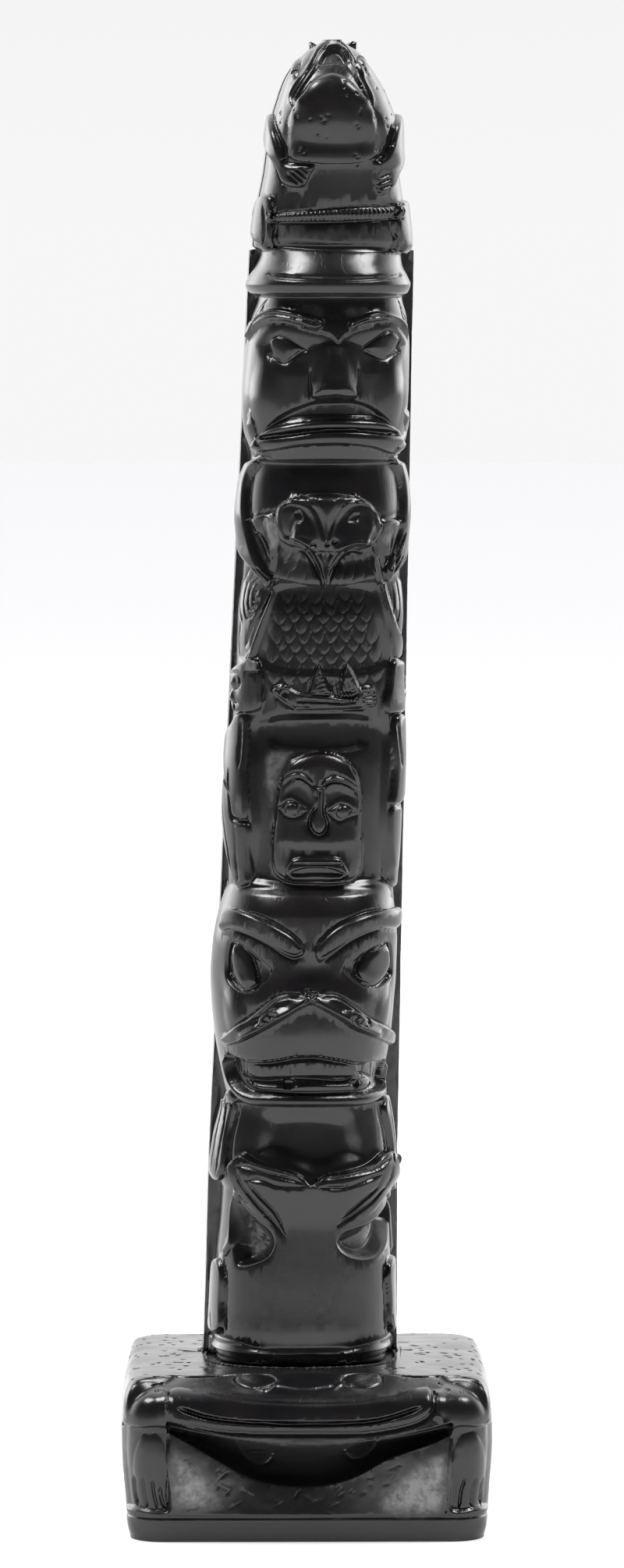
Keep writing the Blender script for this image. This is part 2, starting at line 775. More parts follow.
@dataclass
class Flukes(Figure):
    """Tail flukes, the hollows beside the tail stock, the fins and the small feet at the pole's foot."""

    fluke_height: float = 2.6
    hollow_depth: float = 5.0

    def forms(self) -> None:
        """Cuts the main masses."""
        up = self.sheet.up
        self.sheet.relief -= 1.15 * smooth_step(5.8, 4.2, up) + 1.7 * np.clip(1 - up / 9.5, 0, 1) ** 1.4
        self.patch([(-19.1, 55.9), (-17.3, 57.1), (-13.6, 55.2), (-6.9, 53.3), (-1, 51), (1.1, 49.2),
            (3.6, 51), (9.5, 52.1), (15.6, 53.6), (20.4, 57.1), (22.8, 55.9), (23.6, 51.9), (23.3, 47.2),
            (21.2, 44), (18.4, 40.6), (14, 37.7), (8.8, 36.3), (6.3, 34.9), (-5.9, 34.4), (-9.3, 36.7),
            (-14.2, 40.6), (-17.9, 45.1), (-20.5, 49.9), (-20.7, 53.6)], height=self.fluke_height, edge=1.3,
            fade=(36, 54))
        self.patch([(-19.5, 45.7), (-17.1, 42.9), (-13.4, 39.6), (-9.2, 36), (-8.4, 32.7), (-10, 29.3),
            (-13.7, 27.1), (-18.6, 26.2), (-20, 31), (-20.3, 39.2)], [(23.4, 44.4), (21.2, 41.3),
            (17.5, 38.6), (12.3, 37), (8.8, 35.5), (7.6, 33), (9.3, 30), (13.6, 28.1), (18.5, 28),
            (21.7, 30.3), (23.5, 37.6)], height=-self.hollow_depth, edge=3.4)
        self.patch([(-12.6, 68.3), (11.4, 68.2), (14.1, 62.6), (16, 55.3), (9.5, 52.9), (1.1, 51),
            (-7.3, 54.3), (-14.8, 56.6), (-13.7, 62.8)], height=-1.6, edge=5)
        self.swell([(-21.5, 73.8), (-19.3, 70.6), (-20.7, 62.3), (-22.1, 50.1), (-25.3, 49.6),
            (-24.4, 57.1), (-22.9, 65.5)], [(22.2, 72.1), (19.8, 69.1), (21.3, 61.8), (23.3, 52.3),
            (26, 50.4), (25.7, 56.7), (24.2, 65.2)], height=1.5, edge=1.3)
        self.swell([(-22.9, 27.6), (-21.8, 24.4), (-21.9, 15.9), (-22.2, 8.3), (-25.3, 8), (-25.9, 16.5),
            (-25.2, 24)], [(23.4, 27.7), (21.7, 25.1), (22.1, 16.6), (22.7, 8.2), (26.1, 8), (26.4, 16.1),
            (25.8, 24.2)], height=1.5, edge=1.2)
        self.ridge([(-18.4, 48), (-19.5, 41.5), (-20.3, 33), (-22.2, 28.4)], [(22.3, 47.8), (23.5, 39.7),
            (23.6, 31.1), (24.1, 27.6)], half=1.6, height=0.9, taper=2)

    def details(self) -> None:
        """Cuts the fine lines."""
        self.band([(-17.9, 52.9), (-16, 53.2), (-10.4, 51.4), (-4.8, 49.8), (-1, 48.6)], [(-16, 49.7),
            (-12.5, 49.7), (-7.7, 48.4), (-1, 48.2)], [(-17.9, 52.9), (-17.4, 49.8), (-13.9, 44.2),
            (-9.3, 39), (-6.1, 35)], [(-15.6, 49.8), (-12.7, 45.9), (-8.5, 41.1), (-5.9, 35.7)],
            [(20.9, 54.9), (17.8, 52.4), (11.7, 51), (3.6, 49.6)], [(18.7, 50.7), (13.8, 49), (8.7, 47.8),
            (3, 48)], [(21.4, 53.6), (21, 49.5), (17.9, 44.4), (12.9, 40.7), (8, 37.8)], [(19.1, 50.6),
            (17.8, 47.4), (13.9, 43.6), (9.2, 39.7)], half=0.75, height=-0.6, taper=3)
        self.band([(-1.4, 51), (1.1, 48.6), (3.2, 50.8)], half=0.6, height=-0.8, taper=1)
        self.band([(-24.5, 6.9), (-19.2, 6.2), (-11, 5), (1.5, 4.6), (10, 4.9), (16.5, 5.6), (23.5, 6.4),
            (26.5, 7.6)], half=0.35, height=-0.3, taper=3)
        self.band([(-18.9, 55.5), (-17.3, 56.6), (-13.6, 54.8), (-6.9, 52.9), (-1.4, 51)], [(3.6, 51),
            (9.6, 51.9), (15.6, 53.4), (20.4, 56.6)], half=0.5, height=0.3, taper=2)
        self.groove([(-20, 71.9), (-21.3, 64.2), (-23.1, 50.8)], [(-18.4, 70), (-19.9, 62.4),
            (-21.3, 50.2)], [(-21, 72.6), (-22.6, 63.8), (-24.2, 51.2)], [(20.3, 70.5), (22, 63.6),
            (23.6, 52.5)], [(18.8, 68.4), (20.8, 59.9), (21.8, 52.3)], half=0.4, depth=0.5, taper=2)
        self.groove([(22.6, 12.4), (23.2, 8.2)], [(24.3, 11.2), (24.6, 7.1)], [(25.4, 11.4), (25.5, 7.6)],
            [(-25, 12.2), (-24.9, 8.4)], [(-23.9, 12.5), (-23.7, 8.5)], half=0.35, depth=0.7, taper=0.6)
        self.groove([(-22.2, 26.7), (-21.4, 22.4), (-21.5, 13.9), (-21.2, 8.2)], [(22, 27.7), (21.3, 22.1),
            (21.9, 13.5), (21.9, 8)], half=0.5, depth=0.8, taper=2)
        self.rough([(-19.5, 45.2), (-16.3, 41.9), (-10.3, 36.8), (-9.2, 33.5), (-11.3, 30.1), (-17.4, 28),
            (-19.5, 33.2)], strength=0.5, dust=0.25, edge=3)
        self.rough([(9.7, 35.5), (18, 37.7), (21.7, 34.5), (20.3, 29.8), (14.5, 28.9), (10.2, 31.3)],
            strength=0.4, dust=0.1, edge=3)
        rng = np.random.default_rng(17)
        for _ in range(26):
            x, z = rng.uniform(-19.5, -11.5), rng.uniform(27.5, 43.5)
            self.band([(x, z), (x + rng.uniform(1.2, 2.8), z - rng.uniform(-0.6, 1.6))], half=0.4,
                      height=-rng.uniform(0.12, 0.3), taper=0.8)


@dataclass
class WhaleHead(Figure):
    """Whale's head with heavy brows, round nostrils and two rows of teeth."""

    brow_height: float = 1.9

    def forms(self) -> None:
        """Cuts the main masses."""
        self.swell([(-23.8, 122), (-21.9, 123), (-18.9, 122.6), (-14.6, 121), (-10, 118.7), (-6.4, 116.6),
            (-4, 114.3), (-3, 113.1), (-3.5, 111.2), (-5.6, 110.4), (-8.1, 111.2), (-12.3, 113.8),
            (-17.1, 116.1), (-21.8, 117.6), (-24.5, 117)], [(23.2, 121.6), (19.9, 122.9), (17.1, 122.6),
            (12.7, 121.9), (8.4, 120.5), (4.4, 118.3), (1.6, 115.6), (-0.2, 113.1), (0, 110.6),
            (1.3, 109.3), (4.6, 111.5), (8.6, 114.4), (13, 116.5), (17.4, 117.6), (22, 117.2)],
            height=self.brow_height, edge=1.5)
        self.patch([(-22.5, 114.4), (-20.9, 114.1), (-15.9, 111.1), (-11.3, 106.9), (-15.3, 102),
            (-20.1, 101.1), (-23.6, 104.2), (-23.6, 111.3)], [(20.6, 114), (18.7, 113.9), (12.6, 111.5),
            (7.3, 107.7), (11, 104), (16.6, 101.7), (21.7, 104.4), (21.4, 111.3)], height=-1.3, edge=1.4)
        self.swell([(-21.9, 113.6), (-20.4, 113.3), (-17.5, 110.2), (-16, 106.5), (-15.7, 103.6),
            (-18.9, 101.8), (-21, 103.7), (-22.3, 107.7), (-22.6, 111.4)], [(19.4, 113.6), (20.7, 111.4),
            (20.8, 107.2), (19, 103.7), (16.1, 102.4), (12.8, 103.5), (11.4, 106.5), (13, 110.2),
            (16.5, 112.9)], height=1.9, edge=2.6)
        self.mound((-0.9, 106.8), across=6, up=5.5, height=-0.8, tilt=0, power=1.5)
        self.swell([(-1.6, 100.7), (-4.8, 100.9), (-8.1, 100.8), (-11.1, 99.7), (-13.6, 97.6),
            (-16.7, 94.7), (-21, 91.1), (-23.8, 87.7), (-22.8, 86.4), (-19.1, 87.5), (-14.6, 90.2),
            (-11, 92.3), (-6.9, 94.9), (-3.7, 97), (-1, 98.1), (2, 96.8), (6.1, 94.4), (10, 91.5),
            (13.8, 89.8), (17.4, 88.2), (22.2, 84.9), (23.2, 86.6), (18.9, 91.6), (15.2, 94), (12, 96.6),
            (8.5, 99.3), (5.1, 100.8), (1.3, 100.9)], height=1.5, edge=1.3)
        self.ledge([(-19.3, 87.5), (-14.6, 90.2), (-11, 92.5), (-6.9, 95.1), (-3.7, 97.2), (-0.8, 98.3),
            (2, 97), (6.1, 94.6), (10, 91.7), (13.8, 89.8), (17.7, 88.2)], fade=3.2, height=1.1, edge=0.5,
            taper=3)
        self.mound((-10.6, 95.2), across=4.4, up=2.2, height=0.7, tilt=0.35)
        self.mound((10.4, 94.6), across=4.4, up=2.2, height=0.7, tilt=-0.35)
        self.patch([(-22.7, 83.8), (-19.9, 82.8), (-12.3, 82.6), (-5.3, 83.9), (0.6, 84.1), (6.9, 83.1),
            (13, 81.9), (21, 80.9), (21.9, 75), (18, 72.7), (10.9, 72.3), (0.3, 72.4), (-10.2, 72.5),
            (-16.3, 72.6), (-20, 74.7), (-21.9, 78.2)], height=-2.3, edge=1.0)
        self.patch([(-18.9, 82.3), (-12.2, 82.2), (-5.3, 83.2), (0.6, 83.5), (6.9, 82.7), (13.5, 81.4),
            (13.6, 78), (8.4, 77.5), (0, 77.7), (-8.3, 77.4), (-16.1, 77.2), (-18.6, 78.9)], height=1.2,
            edge=1.3)
        self.patch([(-19.3, 77.5), (-16.1, 76.6), (-8.3, 76.3), (0, 76.8), (8.5, 76.6), (14.1, 76.8),
            (18.3, 76.6), (17, 73.8), (10.8, 73.2), (0.2, 73.1), (-10.2, 73.4), (-16, 74)], height=1.3,
            edge=1.3)
        self.ridge([(-23.1, 83.2), (-21.9, 78.2), (-19.8, 74.3), (-15.9, 71.9), (-10, 71.4), (0.4, 71.3),
            (11.5, 71.2), (18.1, 72.4), (21.7, 75), (22.4, 80.2)], half=1.3, height=1.2, taper=2)
        self.mound((-21.2, 94.9), across=5, up=8, height=0.8, tilt=0.3, power=1.5)
        self.mound((19.3, 95.3), across=5, up=8, height=0.8, tilt=-0.3, power=1.5)

    def details(self) -> None:
        """Cuts the fine lines."""
        self.groove([(-21.8, 117.4), (-17.1, 115.9), (-12.3, 113.6), (-8.1, 110.9), (-5.4, 110.1),
            (-3.3, 111.2)], [(-21.9, 123.2), (-14.6, 121.5), (-6.6, 117), (-3, 113.5)], [(1.3, 109.1),
            (4.9, 111.5), (8.8, 114.4), (13.3, 116.5), (17.7, 117.6)], [(-0.3, 113.7), (4.6, 118.7),
            (12.6, 122.4), (17.5, 123)], [(-21.4, 118.3), (-16.7, 117), (-11.5, 114.4), (-7.7, 112.4),
            (-5.2, 111.8), (-3.4, 112.9)], [(0.7, 110.6), (4.4, 112.8), (8.6, 115.4), (13, 117.5),
            (17.4, 118.4)], half=0.4, depth=0.5, taper=2)
        self.groove([(-22.3, 114.2), (-20.5, 113.8), (-15.9, 110.7), (-11.5, 106.9)], [(-11.5, 106.9),
            (-15.3, 102.6), (-19.3, 101.3), (-23.2, 104.6)], [(-23.2, 105.1), (-23.1, 110.1), (-22.3, 114)],
            [(20.1, 113.9), (18.2, 113.5), (12.6, 111), (7.5, 107.7)], [(7.5, 107.7), (11, 104.2),
            (16.6, 102.2), (21.4, 104.5)], [(21.4, 104.7), (21.2, 109.6), (20.1, 113.7)], [(-17.3, 110.2),
            (-15.8, 106.5), (-15.5, 103.4)], [(12.8, 110), (11.4, 106.7), (13, 103.5)], half=0.45,
            depth=0.6, taper=1)
        self.groove([(-2.9, 102.3), (-0.8, 102.1), (1.1, 102.1)], [(-2.9, 102.1), (-1.2, 99.9),
            (-2.9, 98.3)], [(1.1, 102.1), (-0.6, 99.9), (0.9, 98.3)], half=0.4, depth=0.7, taper=0.6)
        self.patch([(-2.9, 102.1), (1.1, 102.1), (-0.8, 99.9)], height=0.5, edge=0.8)
        self.groove([(-1.6, 100.5), (-4.8, 101.1), (-7.9, 101.1), (-11.2, 100), (-13.6, 97.8),
            (-17.1, 94.7), (-21, 91.1), (-23.7, 87.8)], [(0, 100.5), (5.1, 101), (8.5, 99.5), (12, 96.8),
            (15.2, 94.2), (18.9, 91.8), (22.5, 87.7)], [(-2.5, 99.7), (-6.2, 99.9), (-9.9, 99), (-12.3, 97),
            (-15.5, 94.1)], [(1.3, 99.7), (5.1, 99.8), (8.1, 98.5), (11.2, 96.2), (13.9, 93.9)],
            [(-14.6, 91.9), (-14.3, 94.6), (-12.1, 96.4), (-9, 97.3)], [(13.9, 91.6), (13.9, 93.9),
            (11.6, 96), (8.6, 96.8)], [(-14.6, 91.9), (-11.8, 93.3), (-9.4, 94.6)], [(13.7, 91.6),
            (11.3, 92.9), (9.1, 94.3)], half=0.42, depth=0.55, taper=1.5)
        self.mound((-10.8, 95.2), (-11.8, 93.9), (9.7, 94), (11, 93.1), across=1.2, up=0.9, height=-0.9,
            tilt=0.4)
        self.groove([(-7.5, 82.8), (-7.1, 77.9)], [(-6.5, 82.8), (-6.1, 77.9)], [(-18.1, 82),
            (-18.2, 78.1)], [(-20.1, 82.1), (-19.8, 78.3)], [(13, 81.7), (13, 77.4)], [(18.3, 81.4),
            (18.3, 77.4)], [(15.5, 81.6), (15.4, 77.5)], [(-16.9, 76.5), (-14.3, 73.7)], [(17.4, 76.3),
            (15.6, 73.6)], [(19.7, 79.2), (19.1, 76.3)], half=0.4, depth=0.5, taper=0.8)
        self.groove([(-20.6, 78.6), (-17.5, 76.9), (-10.4, 76.7), (-6.7, 77.4), (0, 77.3), (10.8, 76.9),
            (13.6, 78.6), (18.8, 76.8)], half=0.45, depth=0.7, taper=1.5)
        self.patch([(-8.7, 77), (-4.6, 77), (-6.5, 73.8)], [(11.7, 76.9), (14.1, 76.6), (12.5, 73.5)],
            height=-1.4, edge=0.8)
        self.groove([(-22.7, 83.8), (-19.9, 82.8), (-12.3, 82.6), (-5.3, 83.9), (0.6, 84.1), (6.9, 83.1),
            (13, 81.9), (21.5, 80.6)], half=0.5, depth=0.7, taper=2)
        self.groove([(-11.2, 73.4), (0.2, 73.1), (11.9, 73.1)], half=0.4, depth=0.5, taper=2)
        self.rough([(-17.8, 121.1), (-11.6, 119.3), (-11.2, 117.6), (-16.5, 119.1)], strength=0.3, dust=0.1,
            edge=1.5)


@dataclass
class HoodedFigure(Figure):
    """Small hooded face between two long bent arms and the drawn-up legs."""

    panel_height: float = 2.9

    def forms(self) -> None:
        """Cuts the main masses."""
        self.patch([(-18.7, 173.3), (-14, 174.9), (14.3, 174.8), (18.8, 172), (19.2, 157.4), (19.2, 144.7),
            (20.3, 129.7), (13.6, 128.9), (-13.8, 129), (-18.3, 130.3), (-17.9, 145.1), (-19.1, 157.6)],
            height=-1.5, edge=2.5)
        self.swell([(-11.9, 148.4), (-11.4, 154.7), (-10.3, 159.5), (-8.1, 162.9), (-4.8, 164.7),
            (-0.2, 165.6), (4.8, 164.7), (8.3, 162.4), (10.5, 159.4), (11.7, 154.6), (12.2, 145.1),
            (12.3, 134.6), (10.9, 131.1), (7.1, 129.9), (-1.3, 129.8), (-8.6, 130.4), (-11.8, 133),
            (-12.6, 137.9)], height=self.panel_height, edge=4.6)
        self.patch([(-10.8, 154.1), (-9.2, 157), (-5.9, 158.5), (-2.1, 156.2), (-1.1, 151.6), (-2.7, 149.5),
            (-8.2, 152), (-11.1, 150.7)], [(0.5, 154.5), (2.1, 156.6), (4.6, 157.2), (8.4, 155.9),
            (10.6, 154), (10.7, 150.2), (6.5, 151.5), (2.3, 149.9)], height=-0.5, edge=2.5)
        self.patch([(-1, 155.8), (1.1, 155.8), (1.5, 149.5), (2.4, 146.1), (1.7, 144), (0.2, 143),
            (-1.7, 144), (-2.6, 146.5), (-1.5, 149.5)], height=1.3, edge=1.2)
        self.ledge([(-11.6, 140), (-5.7, 139.4), (0.3, 139.2), (6.9, 139.3), (11.5, 140.1)], fade=8,
            height=0.45, edge=1.8, taper=3)
        self.swell([(-7.3, 136), (-5.7, 137.1), (0.2, 137.3), (5.7, 137), (7, 135.5), (8.3, 132.2),
            (6.3, 130.9), (-0.3, 130.8), (-6.8, 131), (-8.5, 132.3)], height=1.4, edge=1.6)
        self.mound((-7.2, 150.1), (6.3, 149.4), across=3.6, up=2.2, height=0.35)
        self.swell([(-21.5, 175.4), (-19.6, 175.5), (-19, 170.1), (-19.2, 160.8), (-18.5, 151.4),
            (-18.8, 147.2), (-21.9, 147.4), (-23, 153.1), (-23.9, 160.2), (-23.5, 168.6), (-22.6, 172.9)],
            [(22.3, 173.5), (19.7, 174.5), (18.9, 169.9), (19.6, 160.5), (19.3, 154.8), (19, 150.7),
            (21.4, 150.7), (23.4, 154.5), (24, 159.8), (24.3, 166.1)], height=1.9, edge=1.5)
        self.swell([(-24.7, 158.9), (-23.5, 157.2), (-22, 146.9), (-18.4, 145.9), (-17.9, 138.7),
            (-17.5, 130.3), (-20.7, 128.5), (-22.5, 134), (-24.1, 144.1)], [(24.1, 156.6), (23.1, 150.2),
            (19.5, 150.2), (19, 144.8), (19.3, 136.3), (19.8, 129.4), (23.3, 129), (24.2, 135.4),
            (24.3, 146)], height=1.2, edge=1.4)

    def details(self) -> None:
        """Cuts the fine lines."""
        self.groove([(-10.3, 157.8), (-8.4, 159.5), (-6, 160.2), (-3.6, 159.1), (-1.7, 157.2)],
            [(-10.2, 156), (-8.4, 157.6), (-5.7, 158.5), (-3.4, 157.4), (-1.6, 155.8)], [(0.2, 156.6),
            (1.6, 158.3), (3.7, 159.3), (6.9, 158.2), (10.4, 155.9)], [(0.1, 155.1), (1.7, 156.8),
            (4.2, 157.4), (7.4, 156.5), (10.8, 154.4)], [(-1.7, 157.4), (-1.6, 155.6)], [(0.2, 156.8),
            (0.1, 155.1)], half=0.42, depth=0.55, taper=1)
        self.band([(-9.8, 157.4), (-8, 158.9), (-5.7, 159.3), (-3.6, 158.3), (-1.9, 156.6)], [(0.7, 156.2),
            (2.1, 157.8), (4.2, 158.2), (7.3, 157.4), (10.4, 155.2)], half=0.7, height=0.35, taper=1.5)
        self.groove([(-11.3, 150.7), (-9.5, 151.8), (-7.8, 152.6), (-5.9, 151.8), (-3.1, 149.9)],
            [(-11.1, 150.5), (-9, 148.6), (-7.1, 147.8), (-5, 148.4), (-3.1, 149.9)], [(2.1, 149.5),
            (3.8, 150.7), (5.6, 151.5), (7.8, 150.9), (9.9, 148.9)], [(2.1, 149.5), (3.6, 148),
            (5.6, 146.9), (7.4, 147.7), (10.2, 148.5)], half=0.4, depth=0.4, taper=0.8)
        for x, z in ((-7.2, 150.1), (6.3, 149.4)):
            ring = [(x + 1.7 * math.cos(a), z + 1.6 * math.sin(a)) for a in np.linspace(0, 2 * math.pi, 9)]
            self.groove(ring, half=0.3, depth=0.4)
        self.groove([(-1.2, 154.9), (-0.9, 151.1), (-2.3, 148.2), (-2.6, 145.7), (-1.3, 143.6), (0.4, 143),
            (1.9, 144), (2.4, 146.1), (1.5, 149), (1.4, 152.4)], half=0.45, depth=0.7, taper=1.5)
        self.groove([(-6.9, 135.4), (-0.4, 135.2), (6.6, 135.3)], half=0.45, depth=0.6, taper=1)
        self.patch([(-7.6, 132.5), (-5.2, 134.1), (-0.6, 134.8), (4.5, 134.1), (7.5, 132.2), (6.2, 131.8),
            (-0.5, 131.8), (-6.4, 131.8)], height=-0.9, edge=0.7)
        self.band([(-7.4, 131.4), (-0.5, 131.2), (6.9, 131.4)], half=0.6, height=0.35, taper=1)
        self.groove([(-11.5, 151.5), (-11.1, 156.2), (-9.5, 160.2), (-6.9, 163.3), (-3.6, 164.7),
            (0.2, 165.4), (4.8, 164.3), (7.8, 162.2)], half=0.5, depth=0.6, taper=2)
        self.groove([(7.9, 161.6), (10.1, 158.6), (11, 154.6), (11.6, 145.1), (11.7, 134.2), (10.1, 131.3),
            (7.1, 130.5)], half=0.5, depth=0.5, taper=2)
        self.groove([(-12.4, 147.3), (-12.1, 136.8), (-11, 133.1), (-8, 131)], half=0.4, depth=0.4, taper=2)
        self.band([(-20.1, 174.7), (-20.2, 168), (-20.6, 160.7)], [(19.5, 173.6), (20.1, 167.7),
            (21, 160.5)], half=0.8, height=-0.5, taper=2)
        self.groove([(-22.8, 160.5), (-22.6, 153.2), (-21.7, 147.8), (-20, 147.1), (-18, 145.9)],
            [(-24.5, 158.5), (-24.2, 148.6), (-22.7, 138.2), (-21.3, 129.2)], [(19.5, 150.6), (21.4, 150.7),
            (23.2, 154.1), (23.8, 159.8)], [(-21.6, 145.7), (-20.9, 136.4), (-20.1, 130.1)], half=0.45,
            depth=0.65, taper=1.5)
        self.rough([(-15.4, 164.9), (-10.7, 166.6), (-6.7, 165.6), (-8.5, 162.5), (-10.9, 157.8),
            (-12, 151.5), (-14.5, 152.8)], strength=0.6, dust=0.42, edge=2.5)
        self.rough([(-21.6, 132.9), (-19.6, 133.6), (-19.1, 129.8), (-21.1, 129.2)], strength=0.5,
            dust=0.12, edge=0.8)
        self.rough([(19.8, 134.1), (22.4, 133.3), (22.1, 129), (19.8, 129.4)], strength=0.5, dust=0.2,
            edge=0.8)
        self.rough([(-21.4, 151.6), (-19.8, 152.2), (-19.3, 150.1), (-20.9, 149.6)], strength=0.5, dust=0.3,
            edge=0.6)


@dataclass
class Bird(Figure):
    """Bird of prey with a hooked beak, a scaled chest, folded wings and a fish in its claws."""

    head_height: float = 2.2
    beak_height: float = 2.4

    def forms(self) -> None:
        """Cuts the main masses."""
        self.patch([(-12.2, 241.5), (6.8, 241.5), (8.3, 237.8), (11, 234), (12.8, 231.1), (13.5, 222.7),
            (-14.2, 222.8), (-14.4, 231.1), (-13.3, 234.5), (-11.7, 238.2)], height=0.5, edge=4)
        self.swell([(-19.9, 243.8), (-22, 239), (-23.2, 232.7), (-23.2, 226.4), (-22.2, 220.1),
            (-20.3, 215.7), (-17.4, 212.1), (-14.8, 209.6), (-13.8, 211.8), (-16.3, 215.6), (-18.5, 220.5),
            (-20.3, 226.7), (-20.8, 233), (-20.1, 238.8), (-18.3, 242.6)], [(18.3, 243.8), (21.2, 238.9),
            (22.5, 232.6), (22.7, 226.3), (22.1, 220.8), (20.3, 216.4), (17.9, 212.8), (16.2, 211.2),
            (15.2, 213.8), (17.2, 217.9), (18.9, 222.4), (19.4, 227.7), (19.5, 232.9), (18.5, 238.7),
            (16.5, 242.6)], height=2.2, edge=1.8)
        self.patch([(-20.3, 228), (-17.2, 229.8), (-13.9, 228.6), (-13, 224), (-13.2, 219.4), (-15.1, 216),
            (-16.9, 220.6), (-19, 224.7)], [(13.3, 227.3), (16.8, 228.4), (19.7, 227), (18.4, 222.5),
            (16.8, 217.1), (14.7, 218), (13.5, 222.7)], height=1.0, edge=1.2)
        self.swell([(-13.9, 227.4), (-13.6, 230.7), (-11.6, 232.8), (-8.7, 233.7), (-4.6, 234.1),
            (2.7, 234.1), (7.6, 233.7), (11, 232), (13.7, 228.1), (13.9, 223.9), (11.8, 220.7),
            (6.7, 219.5), (-7.5, 219.9), (-12.5, 222.4)], height=self.head_height, edge=3.4)
        self.ledge([(-10.3, 222.8), (-7.4, 222), (-4.6, 219.7), (-2.4, 216.2), (-0.1, 210.3), (1, 214.3),
            (2.8, 217.8), (5, 219.9), (7.5, 220.7), (10.6, 219.6)], fade=9, height=self.beak_height,
            edge=0.7, taper=2.5)
        self.patch([(-13.3, 227.4), (-12.6, 231.2), (-10, 232.6), (-6.6, 231.8), (-3.9, 229.1),
            (-2.3, 225.4), (-1.3, 220.8), (-0.9, 216.2), (-3.3, 219.5), (-5.5, 221.4), (-8.4, 222),
            (-11.7, 222.8)], [(13.1, 226.5), (11.5, 230.7), (8, 232.6), (4.6, 232), (2, 229.3),
            (0.6, 225.4), (-0.1, 220.8), (-0.1, 216.2), (1.7, 219.1), (4.1, 220.8), (7.5, 221.4),
            (11.8, 221.9)], height=-0.9, edge=1.6)
        self.patch([(-6.3, 234.5), (4.6, 234.5), (3.4, 230.4), (1.2, 226.2), (0.1, 221.6), (-0.1, 212.4),
            (-1.3, 221.6), (-2.5, 226.2), (-4.7, 230.4)], height=1.2, edge=3.0)
        self.ledge([(-14.4, 212.7), (-11.7, 211.9), (-6.9, 211.2), (-0.2, 210.6), (7.2, 211.2),
            (11.3, 211.8), (13.9, 212.6)], fade=6, height=1.9, edge=0.6, taper=1.5)
        self.patch([(-14, 210), (13.7, 210), (15.1, 203.7), (17.1, 196.3), (18.3, 188.8), (11.8, 185.8),
            (0.2, 185.5), (-11.3, 185.9), (-17.5, 189.1), (-16.1, 197.5), (-14.7, 203.8)], height=-0.7,
            edge=2.5)
        self.patch([(-13.1, 220.7), (-13.9, 215.4), (-14, 210.5), (-15.5, 205.8), (-17.8, 199.5),
            (-19.7, 193.1), (-20.7, 189.7), (-18.8, 189.4), (-16.9, 194.3), (-15, 200.7), (-13.1, 206.9),
            (-12.1, 211.9), (-12, 217.6)], [(12.2, 220.6), (14.1, 217.4), (15.7, 212.1), (17.7, 205.7),
            (20, 199.3), (21.8, 191.5), (19.7, 189.5), (17.9, 193.1), (17.1, 198.4), (15.1, 204.7),
            (13.5, 210), (11.8, 215.4)], height=0.9, edge=1.2)
        self.swell([(-21.5, 188.8), (-19.6, 190), (-17.1, 189.9), (-16.1, 187.4), (-15.7, 181.8),
            (-15.9, 177), (-18.8, 175.6), (-21.9, 175.3), (-22.5, 177.1), (-22.6, 180.2), (-23.2, 183.4),
            (-22.6, 186.3)], [(18.1, 189.3), (20.2, 189.7), (22.3, 188.3), (23.5, 184.9), (23.4, 179.8),
            (22.9, 176), (20.1, 175), (16.9, 175.5), (16.4, 178.5), (17.2, 182.6), (17.5, 186.4)],
            height=1.9, edge=1.3)
        self.patch([(-14.1, 182), (-10.8, 183.8), (-6.2, 181.7), (1.4, 180.9), (8.6, 180.4), (9.4, 182.5),
            (14.1, 183), (14.5, 177.3), (10.4, 177), (1.6, 176.4), (-6.8, 176.7), (-10.2, 178.3)],
            height=1.2, edge=1.0)
        self.patch([(-1.4, 190.1), (1.2, 185.5), (3.1, 180.9), (-3.2, 180.9), (-2.5, 185.5)], [(6.6, 189.6),
            (9.3, 185.4), (10.2, 181.6), (4.3, 180.8), (4.6, 185.9)], height=1.2, edge=1.6)
        self.patch([(-14, 175.3), (13.2, 175.2), (13.6, 171.2), (13.3, 166.4), (-13.8, 166.5),
            (-15, 171.3)], height=-1.2, edge=2.5)

    def details(self) -> None:
        """Cuts the fine lines."""
        self.groove([(-9.9, 222.2), (-7.1, 221.2), (-4.8, 219.1), (-2.6, 215.5), (-0.4, 210.8)],
            [(-9.6, 221), (-6.7, 219.7), (-4.5, 217.2), (-2.3, 213.6), (-0.6, 210.8)], [(10.1, 220.3),
            (7.3, 221.4), (4.8, 220.6), (2.5, 218.5), (0.8, 214.7), (0, 210.8)], [(9.3, 219), (6.3, 219.5),
            (3.6, 217.6), (1.7, 214.3), (0.4, 211)], half=0.42, depth=0.6, taper=1.5)
        self.groove([(-4.5, 230.8), (-7.5, 232), (-10.8, 232.4), (-12.8, 231.2), (-13.3, 228.2),
            (-12.8, 224.9), (-11.1, 222)], [(2.6, 230.8), (4.6, 232.2), (7.6, 232.6), (10.6, 231.5),
            (13.2, 229), (14.2, 225.6), (12.6, 221.9)], [(-5, 231.6), (-2.8, 229.1), (-1.7, 225.8),
            (-0.9, 222)], [(3.4, 231.2), (1.6, 228.5), (0.4, 225.4), (-0.3, 221.6)], half=0.5, depth=0.35,
            taper=2)
        for eye in ([(-9.1, 229.7), (-7.4, 230.4), (-6.3, 228.3), (-7.5, 226.8)],
                    [(4.5, 227.4), (6, 229.5), (7.9, 229.5), (7.1, 227)]):
            self.patch(eye, height=-0.4, edge=0.7)
            self.band([*eye, eye[0]], half=0.3, height=0.15)
        self.mound((-3.8, 221.4), (-0.3, 221.4), (1.6, 222), across=0.9, up=0.7, height=-0.7, tilt=0.5)
